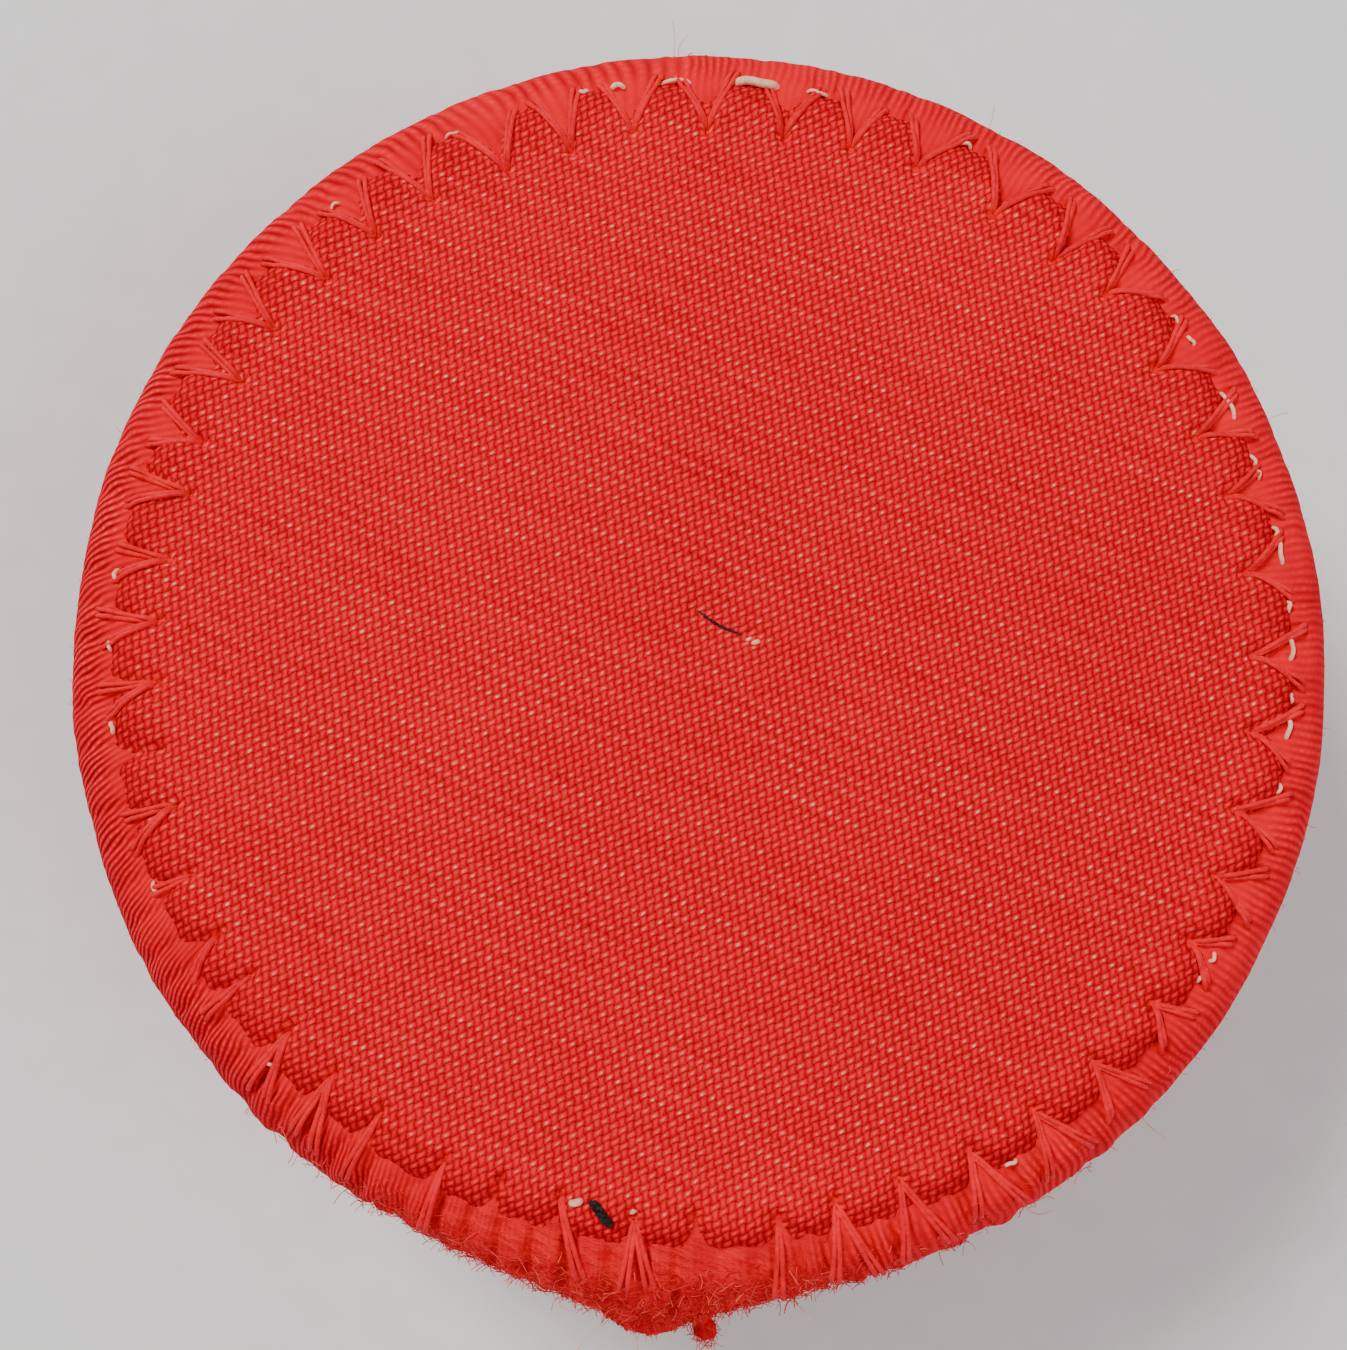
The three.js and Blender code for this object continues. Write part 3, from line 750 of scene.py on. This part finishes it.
def seam_ground(x, y):
    """The face cloth, carried on over the seam to the top of the side."""
    r = np.hypot(x, y)
    side = SEAM_Z - 0.1 - 0.32 * np.clip(r - FACE_R - 0.3, 0, 2) ** 2
    side = np.maximum(side, side_height(r, np.arctan2(y, x)))
    return np.where(r < FACE_R - 0.15, face_surface(x, y), np.maximum(face_surface(x, y), side))


def make_face_stitches():
    """Doubled red thread: each stitch is a V from one hole in the face out to the side."""
    r = rng(21)
    paths = []
    for i in range(TEETH):
        angle, in_r = FACE_DISC.angle[i], FACE_DISC.in_r[i]
        before = (angle - FACE_DISC.angle[i - 1]) % TAU
        after = (FACE_DISC.angle[(i + 1) % TEETH] - angle) % TAU
        crowded = math.cos(angle - DENSE_AT) > 0.55
        for side, room in ((-1, before), (1, after)):
            if crowded and r.random() < 0.4:
                continue
            reach = STITCH_OUT_R + r.uniform(-0.25, 0.45) + 1.9 * float(fray(np.array([angle]))[0])
            spread = room * (side * (FACE_DISC.spread[i] + r.uniform(-0.04, 0.04)) + FACE_DISC.lean[i])
            loose = 0.10 if side > 0 else 0.13
            for strand in (-1, 1):
                apart = strand * r.uniform(0.09, 0.14) / in_r
                start = (in_r, angle + 0.4 * apart)
                end = (reach + r.uniform(-0.1, 0.1), angle + spread + apart * 1.5)
                paths.append(leg_path(seam_ground, start, end, loose + r.uniform(0, 0.05)))
    stitches = tubes("face_stitches", paths, [FACE_THREAD_R] * len(paths), RED_THREAD)
    declare(stitches, "cushion", "red_thread", "face_zigzag_stitch")


def make_base_stitches():
    paths = []
    steps = 8
    for i in range(TEETH):
        angle, in_r = BASE_DISC.angle[i], BASE_DISC.in_r[i]
        room = TAU / TEETH
        for side in (-1, 1):
            t = np.linspace(0, 1, steps)
            radius = in_r + (BASE_R + 0.3 - in_r) * t
            theta = angle + side * room * 0.42 * t
            x, y = radius * np.cos(theta), radius * np.sin(theta)
            z = np.minimum(base_surface(x, y) - 0.1, BASE_Z - 0.02) + 0.35 * np.exp(-((t / 0.1) ** 2))
            z = np.clip(z + 0.5 * np.exp(-(((1 - t) / 0.12) ** 2)), BASE_Z - 0.28, None)
            paths.append(points(radius, theta, z))
    stitches = tubes("base_stitches", paths, [BASE_THREAD_R] * len(paths), RED_THREAD)
    declare(stitches, "cushion", "red_thread", "base_zigzag_stitch")


# Where the cream basting thread comes up, as [angle in degrees, length in mm, thickness in mm].
CREAM_DASHES = [
    (84.3, 2.1, 0.24), (92.5, 1.6, 0.10), (78, 1.0, 0.10), (98.5, 0.5, 0.14), (102, 0.3, 0.11),
    (62, 0.4, 0.10), (34, 0.5, 0.09), (31.5, 0.4, 0.10), (24, 1.5, 0.11),
    (18, 0.4, 0.10), (16.5, 0.3, 0.09),
    (10.5, 0.35, 0.11), (8.5, 1.2, 0.12), (3, 0.3, 0.12), (-1, 1.2, 0.12), (-6, 0.3, 0.10),
    (-9, 0.9, 0.12), (-15, 0.4, 0.11), (-32.5, 0.3, 0.10), (-34.5, 0.6, 0.11), (-60, 0.4, 0.10),
    (225, 0.35, 0.10), (205, 0.4, 0.10), (189, 0.35, 0.12), (181, 0.3, 0.10), (174, 0.35, 0.12),
    (130, 0.4, 0.08), (116, 0.7, 0.07),
]
# More glimpses, beside the edge tack and at one end of the middle tack, as [place, thickness].
CREAM_KNOTS = [((-6.4, -28.9), 0.19), ((-3.5, -29.4), 0.14), ((2.45, -0.3), 0.10), ((2.8, -0.5), 0.13)]


def dash_path(angle, length, radius, lift):
    t = np.linspace(0, 1, 12)
    theta = math.radians(angle) + (t - 0.5) * (length + 0.25) / radius
    wave = 0.05 * np.sin(t * 7 + angle)
    r = radius + wave
    x, y = r * np.cos(theta), r * np.sin(theta)
    z = seam_ground(x, y) + lift - 0.5 * np.abs(2 * t - 1) ** 5
    return np.stack([x, y, z], axis=-1)


def make_cream_stitches():
    paths = [dash_path(a, length, FACE_R - 0.05, thick * 0.8) for a, length, thick in CREAM_DASHES]
    radii = [thick for _, _, thick in CREAM_DASHES]
    for at, thick in CREAM_KNOTS:
        x = at[0] + np.linspace(-1.2, 1.2, 8) * thick
        y = at[1] + np.linspace(-0.04, 0.06, 8)
        z = face_surface(x, y) + thick * 0.6 - 0.3 * np.abs(np.linspace(-1, 1, 8)) ** 4
        paths.append(np.stack([x, y, z], axis=-1))
        radii.append(thick)
    cream = tubes("cream_running_stitch", paths, radii, CREAM_THREAD, sides=8)
    declare(cream, "cushion", "cream_thread", "face_running_stitch")


# ---- Black tacks ----


def twisted(path, radius, turns, plies=2):
    """The paths of plies of thread twisted round a path."""
    path = np.asarray(path)
    n = len(path)
    tangent = unit(np.gradient(path, axis=0))
    aside = unit(np.cross(tangent, [0, 0, 1.0]))
    over = np.cross(aside, tangent)
    result = []
    for k in range(plies):
        phase = np.linspace(0, turns * TAU, n) + k * TAU / plies
        offset = aside * np.cos(phase)[:, None] + over * np.sin(phase)[:, None]
        result.append(path + radius * offset)
    return result


def tack_paths(ends, surface, low_z, bow, lift):
    """The whole of a tack: across the face, down through the cushion and across under the strap."""
    a, b = ends
    t = np.linspace(0, 1, 24)[:, None]
    side = np.array([-(b - a)[1], (b - a)[0]]) / np.linalg.norm(b - a)
    plan = a + (b - a) * t + side * bow * np.sin(math.pi * t)
    z = surface(plan[:, 0], plan[:, 1]) + lift * np.sin(math.pi * t[:, 0]) ** 0.5 - 0.12
    top = np.concatenate([plan, z[:, None]], axis=1)
    top[0, 2] -= 0.5
    top[-1, 2] -= 0.5
    legs = [np.stack([np.full(12, e[0]), np.full(12, e[1]), np.linspace(end[2] - 0.1, low_z, 12)], axis=1)
            for e, end in ((a, top[0]), (b, top[-1]))]
    under = np.concatenate([a + (b - a) * t, np.full((24, 1), low_z)], axis=1)
    return top, legs, under


def make_tack(name, node, ends, radius, bow, lift, turns):
    """A tack whose two plies show on the face, with its hidden legs and lower length."""
    top, legs, under = tack_paths(ends, face_surface, SEWN_LOW[2] - 0.14, bow, lift)
    paths = twisted(top, radius * 0.5, turns) + legs + [under]
    radii = [radius * 0.62] * 2 + [0.14] * 2 + [0.12]
    tack = tubes(name, paths, radii, BLACK_THREAD, sides=8)
    declare(tack, "cushion", "black_thread", node)


# ---- Fibres ----
OUTWARD_FIBRES = 700
MATTED_FIBRES = 2400
STRAY_FIBRE_R = 0.022


def fibre(r, start, outward, length, curl, steps=9):
    """One loose fibre: a short walk that leaves along outward and curls as it goes."""
    heading = unit(np.asarray(outward, float))
    turn = r.normal(0, curl, 3)
    points = [np.asarray(start, float)]
    for _ in range(steps - 1):
        heading = unit(heading + turn / steps + r.normal(0, curl * 0.25, 3) / steps)
        points.append(points[-1] + heading * length / (steps - 1))
    return np.array(points)


def band_place(theta, down):
    """A point on the side's surface."""
    outline, share = band_profile()
    rows = np.arange(HEM_ROWS, len(share) - 1)
    place = np.interp(down, share[rows], rows)
    low, part = int(place), place - int(place)
    above, below = (band_point(np.array([theta]), outline[k], share[k])[0] for k in (low, low + 1))
    return above + part * (below - above)


def make_rim_fuzz():
    """Short fibres all round the side, matted where it frays."""
    r = rng(51)
    paths, radii = [], []
    while len(paths) < OUTWARD_FIBRES:
        theta, down = r.uniform(0, TAU), r.uniform(0.03, 0.6) ** 1.3
        frayed = float(fray(np.array([theta]))[0])
        if r.random() > 0.35 + 0.65 * frayed:
            continue
        out = np.array([math.cos(theta), math.sin(theta), 0.35]) + r.normal(0, 0.75, 3)
        paths.append(fibre(r, band_place(theta, down), out, r.uniform(0.15, 0.45), 1.9))
        radii.append(r.uniform(0.010, 0.018))
    while len(paths) < OUTWARD_FIBRES + MATTED_FIBRES:
        theta = TIP_ANGLE + r.normal(0, math.radians(14))
        down = min(abs(r.normal(0.1, 0.16)) + 0.01, 0.6)
        lift = np.array([math.cos(theta), math.sin(theta), 1.0]) * r.uniform(0.02, 0.12)
        start = band_place(theta, down) + lift
        goal = band_place(theta + r.normal(0, 0.03), down + r.uniform(-0.03, 0.10)) + lift
        paths.append(fibre(r, start, goal - start + r.normal(0, 0.05, 3), r.uniform(0.4, 1.1), 1.0, 7))
        radii.append(r.uniform(0.014, 0.030))
    for name, light, material in (("rim_fuzz", False, RED_FIBRE), ("rim_fuzz_light", True, LIGHT_FIBRE)):
        chosen = [k for k in range(len(paths)) if (k % 5 == 0) == light]
        fuzz = tubes(name, [paths[k] for k in chosen], [radii[k] for k in chosen], material, sides=3)
        declare(fuzz, "cushion", "red_fray")


# Long fibres, as [angle in degrees, how far down, heading in plan in degrees, length, curl].
STRAYS = [
    (92.5, 0.10, 80, 2.0, 0.5), (92, 0.12, 105, 1.5, 0.6), (61, 0.12, 70, 1.4, 0.8),
    (22, 0.15, 40, 1.3, 0.5), (313, 0.2, 300, 1.8, 1.6), (300, 0.2, 280, 1.5, 2.8),
    (262, 0.3, 245, 3.0, 1.2), (264, 0.32, 300, 2.6, 1.0), (268, 0.3, 330, 2.2, 1.5),
    (276, 0.18, 10, 3.0, 1.0), (280, 0.14, 200, 2.2, 2.0), (219, 0.2, 200, 1.3, 2.2),
    (272, 0.25, 350, 2.4, 1.8), (258, 0.25, 220, 2.0, 1.4),
]


def make_stray_fibres():
    """The few long pale fibres."""
    r = rng(52)
    paths = []
    for angle, down, heading, length, curl in STRAYS:
        plan = math.radians(heading)
        start = band_place(math.radians(angle), down)
        paths.append(fibre(r, start, (math.cos(plan), math.sin(plan), 0.25), length, curl, 16))
    hairs = tubes("stray_fibres", paths, [STRAY_FIBRE_R] * len(paths), PALE_FIBRE, sides=4)
    declare(hairs, "cushion", "red_fray")


def side_radius(theta, z):
    """The side's smooth radius at these angles and heights."""
    outline, _ = band_profile()
    outer = slice(HEM_ROWS, -1)
    radius = np.interp(-z, -outline[outer, 1], outline[outer, 0])
    share = (SEAM_Z - z) / (SEAM_Z - BASE_Z)
    return radius + tip_bulge(theta) * bulge_share(share)


def make_tuft():
    """The frayed end of the join: a lumpy matted patch that hugs the side, a small nub, and fibres."""
    low, high = box_mm("rim_tuft")
    half = np.array([(high[0] - low[0]) * 0.34, 0.62, (high[2] - low[2]) * 0.45])
    middle_z = (low[2] + high[2]) / 2
    columns, rows = 120, 60
    uu, vv = ball_angles(columns, rows, 0.02)
    direction = np.stack([np.sin(vv) * np.cos(uu), np.sin(vv) * np.sin(uu), np.cos(vv)], axis=-1)
    lumps = sum(np.sin(f * direction[..., 0] + g * direction[..., 1] * 1.3 + h * direction[..., 2] + f)
                for f, g, h in ((5, 7, 4), (9, -6, 8), (-13, 11, 16), (27, 5, -15), (31, 9, 22))) / 5
    local = direction * half
    theta = TIP_ANGLE + local[..., 0] / CUSHION_R
    z = middle_z + local[..., 2]
    radius = side_radius(theta, z) - 0.25 - local[..., 1] + 0.30 * lumps * (direction[..., 1] < 0)
    verts = points(radius, theta, z).reshape(-1, 3)
    core = piece_from("rim_tuft_core", verts, closed_grid(rows, columns), SIDE_COTTON)
    r = rng(53)
    paths = []
    for k in r.integers(0, len(verts), 700):
        out = np.array([verts[k][0] * 0.02, -1.0, 0.2])
        if np.hypot(*verts[k][:2]) > side_radius(math.atan2(verts[k][1], verts[k][0]), verts[k][2]):
            paths.append(fibre(r, verts[k], out + r.normal(0, 1.2, 3), r.uniform(0.2, 0.55), 2.4))
    nub_angle = math.radians(269.7)
    root = side_radius(nub_angle, middle_z + 1) - 0.4
    t = np.linspace(0, 1, 14)
    nub_r, nub_turn = root + 1.6 * t, nub_angle + 0.012 * np.sin(2 * t)
    nub_path = points(nub_r, nub_turn, middle_z + 1 - 0.5 * t)
    nub_width = (0.70 - 0.20 * t) * np.sqrt(np.clip(1 - t**14, 0.02, 1)) * (1 + 0.16 * np.sin(9 * t + 1))
    nub = tubes("rim_tuft_nub", [nub_path], [nub_width], SIDE_COTTON, sides=18)
    for _ in range(320):
        out = unit(r.normal(0, 1, 3))
        start = nub_path[r.integers(4, 13)] + out * r.uniform(0.50, 0.62)
        heading = np.cross(out, r.normal(0, 1, 3)) + 0.15 * out
        paths.append(fibre(r, start, heading, r.uniform(0.3, 0.8), 2.0))
    hairs = tubes("rim_tuft_fibres", paths, [0.016] * len(paths), RED_FIBRE, sides=3)
    declare(core, "cushion", "red_fray", "rim_tuft")
    declare(nub, "cushion", "red_fray")
    declare(hairs, "cushion", "red_fray")


# ---- Filling ----


def make_wadding():
    """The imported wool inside: the shape of the CAD solid with a lumpy surface."""
    low, high = box_mm("wadding")
    r0, z0, z1 = high[0], low[2], high[2]
    columns, rows = 120, 26
    uu, vv = ball_angles(columns, rows, 0.04)
    flat = np.abs(np.cos(vv)) ** 0.35 * np.sign(np.cos(vv))
    wide = np.sin(vv) ** 0.45
    lumps = sum(np.sin(a * uu + b * vv + a) for a, b in ((5, 4), (9, 7), (14, -9), (23, 12))) / 4
    shrink = 0.955 + 0.015 * lumps
    z = (z0 + z1) / 2 + (z1 - z0) / 2 * flat * (0.86 + 0.02 * lumps)
    verts = points(r0 * wide * shrink, uu, z).reshape(-1, 3)
    core = piece_from("wadding_core", verts, closed_grid(rows, columns), WOOL)
    declare(core, "cushion", "wadding", "wadding")


# ---- Strap ----


def ribbon(name, path, width, thickness, material, tip_r=0.0, step=0.6):
    """Webbing along a path of [y, z] points, with soft selvedges and a rounded end at its last point."""
    path = np.asarray(path, float)
    tangent = unit(np.gradient(path, axis=0))
    normal = np.stack([-tangent[:, 1], tangent[:, 0]], axis=1)
    travelled = np.concatenate([[0], np.cumsum(np.linalg.norm(np.diff(path, axis=0), axis=1))])
    left = travelled[-1] - travelled
    across = np.linspace(-1, 1, 33)
    thick = thickness / 2 * np.clip(1 - np.abs(across) ** 14 * 0.55, 0, 1)
    ring_x = np.concatenate([across, across[::-1]])
    ring_t = np.concatenate([thick, -thick[::-1]])
    rows = []
    for k, (y, z) in enumerate(path):
        pull = 0.0
        if tip_r and left[k] < tip_r:
            pull = tip_r - math.sqrt(max(tip_r**2 - (tip_r - left[k]) ** 2, 0))
        half = width / 2 - pull + 0.05 * math.sin(travelled[k] * 1.7)
        ribs = 0.03 * math.sin(travelled[k] / step * TAU)
        depth = ring_t * (1 + 0.04 * np.cos(ring_x * 40)) * (1 + ribs)
        rows.append(np.stack([ring_x * half, y + normal[k, 0] * depth, z + normal[k, 1] * depth], axis=-1))
    verts = np.concatenate(rows)
    return piece_from(name, verts, closed_grid(len(rows), len(ring_x)), material)


def arc(centre, radius, start, end, steps):
    turn = np.radians(np.linspace(start, end, steps))
    return np.stack([centre[0] + radius * np.cos(turn), centre[1] + radius * np.sin(turn)], axis=1)


def straight(a, b, step=0.3):
    n = max(2, int(np.linalg.norm(np.subtract(b, a)) / step))
    return np.linspace(a, b, n)


def make_strap():
    """Two lengths of webbing: the sewn end with its fold and near layer, then the far fold and layer."""
    near_y, near_z = (c / MM for c in HINGES["strap_rim_fold"]["pos_m"][1:])
    far_y, far_z = (c / MM for c in HINGES["strap_end_fold"]["pos_m"][1:])
    sewn_z = (SEWN_LOW[2] + SEWN_HIGH[2]) / 2
    layer_z = (NEAR_LOW[2] + NEAR_HIGH[2]) / 2
    low_z = FAR_HIGH[2] / 2
    width = SEWN_HIGH[0] - SEWN_LOW[0]
    thickness = SEWN_HIGH[2] - SEWN_LOW[2]
    first = np.concatenate([
        straight((SEWN_HIGH[1], sewn_z), (near_y + 0.2, sewn_z)),
        arc((near_y, near_z), sewn_z - near_z, 90, 270, 21),
        straight((near_y + 0.2, layer_z), (far_y - 0.02, layer_z)),
    ])
    second = np.concatenate([
        arc((far_y, far_z), layer_z - far_z, 90, -90, 25),
        straight((far_y - 0.2, low_z), (FAR_LOW[1], low_z)),
    ])
    near = ribbon("strap_sewn_and_near", first, width, thickness, WEBBING)
    far = ribbon("strap_far_layer", second, width, thickness * 0.97, WEBBING, tip_r=5)
    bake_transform(near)
    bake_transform(far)
    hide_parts("strap_sewn_end", "strap_near_fold", "strap_near")
    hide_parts("strap_far_fold", "strap_far")


# How far the stitches' threads lie from the surface that they are sewn through.
UNDER_STITCH = -0.02
OVER_STITCH = 0.12
STRAP_THREAD_R = 0.15
STITCH_LENGTH = 2.4


def stitched_box(name, node, body, z):
    """Machine stitches round a rectangle: short threads end to end, each hanging in a low arch."""
    low, high = box_mm(node)
    inset = (high[2] - low[2]) / 2
    x0, y0, x1, y1 = low[0] + inset, low[1] + inset, high[0] - inset, high[1] - inset
    corners = [(x0, y0), (x1, y0), (x1, y1), (x0, y1)]
    paths = []
    for k in range(4):
        a, b = np.array(corners[k]), np.array(corners[(k + 1) % 4])
        count = max(1, round(np.linalg.norm(b - a) / STITCH_LENGTH))
        for j in range(count):
            t = (j + np.linspace(0.06, 0.94, 8)) / count
            plan = a + (b - a) * t[:, None]
            hang = z - 0.14 * np.sin(np.linspace(0, math.pi, 8))
            paths.append(np.concatenate([plan, hang[:, None]], axis=1))
    stitches = tubes(name, paths, [STRAP_THREAD_R] * len(paths), BLACK_THREAD)
    declare(stitches, body, "black_thread", node)


def make_strap_stitches():
    landing_z = box_mm("landing_tape")[0][2] + UNDER_STITCH
    hook_z = box_mm("hook_tape")[1][2] + OVER_STITCH
    stitched_box("box_stitches", "strap_box_stitch", "cushion", SEWN_LOW[2] + UNDER_STITCH)
    stitched_box("landing_tape_stitches", "landing_tape_stitch", "cushion", landing_z)
    stitched_box("hook_tape_stitches", "hook_tape_stitch", "strap_far", hook_z)


def dress_cad_nodes():
    """Better materials for the CAD nodes that keep their own shape."""
    finishes = {
        "stiffener_card": CARD,
        "face_gather_thread": RED_THREAD,
        "base_gather_thread": RED_THREAD,
        "hook_tape": HOOKS,
        "landing_tape": LOOPS,
    }
    for node, material in finishes.items():
        for slot in bpy.data.objects[node].material_slots:
            slot.material = material


# ---- Stage ----
CAMERA_AT = (-2.2, -15.5, 90.8)  # millimetres from the middle of the face's seam
CAMERA_AIM = (-1.5, -2.1, 0)
CAMERA_LENS = 46.6


def make_camera():
    target = Vector(CAMERA_AIM) * MM
    back = Vector(CAMERA_AT) * MM - target
    data = bpy.data.cameras.new("camera")
    data.sensor_fit = "HORIZONTAL"
    data.sensor_width = 36
    data.lens = CAMERA_LENS
    data.clip_start = 0.005
    camera = bpy.data.objects.new("camera", data)
    bpy.context.scene.collection.objects.link(camera)
    camera.location = Vector(CAMERA_AT) * MM + Vector((0, 0, SEAM_Z * MM))
    back.normalize()
    right = Vector((0, 1, 0)).cross(back).normalized()
    camera.rotation_euler = Matrix((right, back.cross(right), back)).transposed().to_euler()
    bpy.context.scene.camera = camera


def area_light(name, place, size, power, colour=(1, 1, 1)):
    data = bpy.data.lights.new(name, "AREA")
    data.shape = "DISK"
    data.size, data.energy, data.color = size, power, colour
    light = bpy.data.objects.new(name, data)
    bpy.context.scene.collection.objects.link(light)
    light.location = place
    light.rotation_euler = (Vector(place) - Vector((0, 0, 0.02))).to_track_quat("Z", "Y").to_euler()


def make_stage():
    size = 3.0
    corners = [(-size, -size, 0), (size, -size, 0), (size, size, 0), (-size, size, 0)]
    mesh = bpy.data.meshes.new("floor")
    mesh.from_pydata(corners, [], [(0, 1, 2, 3)])
    floor = bpy.data.objects.new("floor", mesh)
    bpy.context.scene.collection.objects.link(floor)
    g = Graph("floor")
    speckle = g.noise(300, 2.0)
    colour = g.ramp(speckle, [(0.3, (0.83, 0.83, 0.82)), (0.7, (0.87, 0.87, 0.86))])
    floor.data.materials.append(g.finish(colour, 0.8))
    area_light("key", (-0.30, 0.28, 0.55), 0.22, 3.9, (1.0, 0.98, 0.95))
    area_light("fill", (0.45, -0.25, 0.50), 0.5, 1.9, (0.96, 0.98, 1.0))
    world = bpy.data.worlds.new("studio")
    world.use_nodes = True
    world.node_tree.nodes["Background"].inputs["Color"].default_value = (0.95, 0.97, 1.0, 1)
    world.node_tree.nodes["Background"].inputs["Strength"].default_value = 0.43
    bpy.context.scene.world = world


make_camera()
make_stage()
make_face()
make_base()
make_band()
make_face_stitches()
make_base_stitches()
make_cream_stitches()
make_tack("centre_tack_thread", "centre_tack", CENTRE_TACK, 0.10, -0.22, 0.10, 7)
make_tack("edge_tack_thread", "edge_tack", EDGE_TACK, 0.24, 0.05, 0.34, 2.5)
make_rim_fuzz()
make_stray_fibres()
make_tuft()
make_wadding()
make_strap()
make_strap_stitches()
dress_cad_nodes()
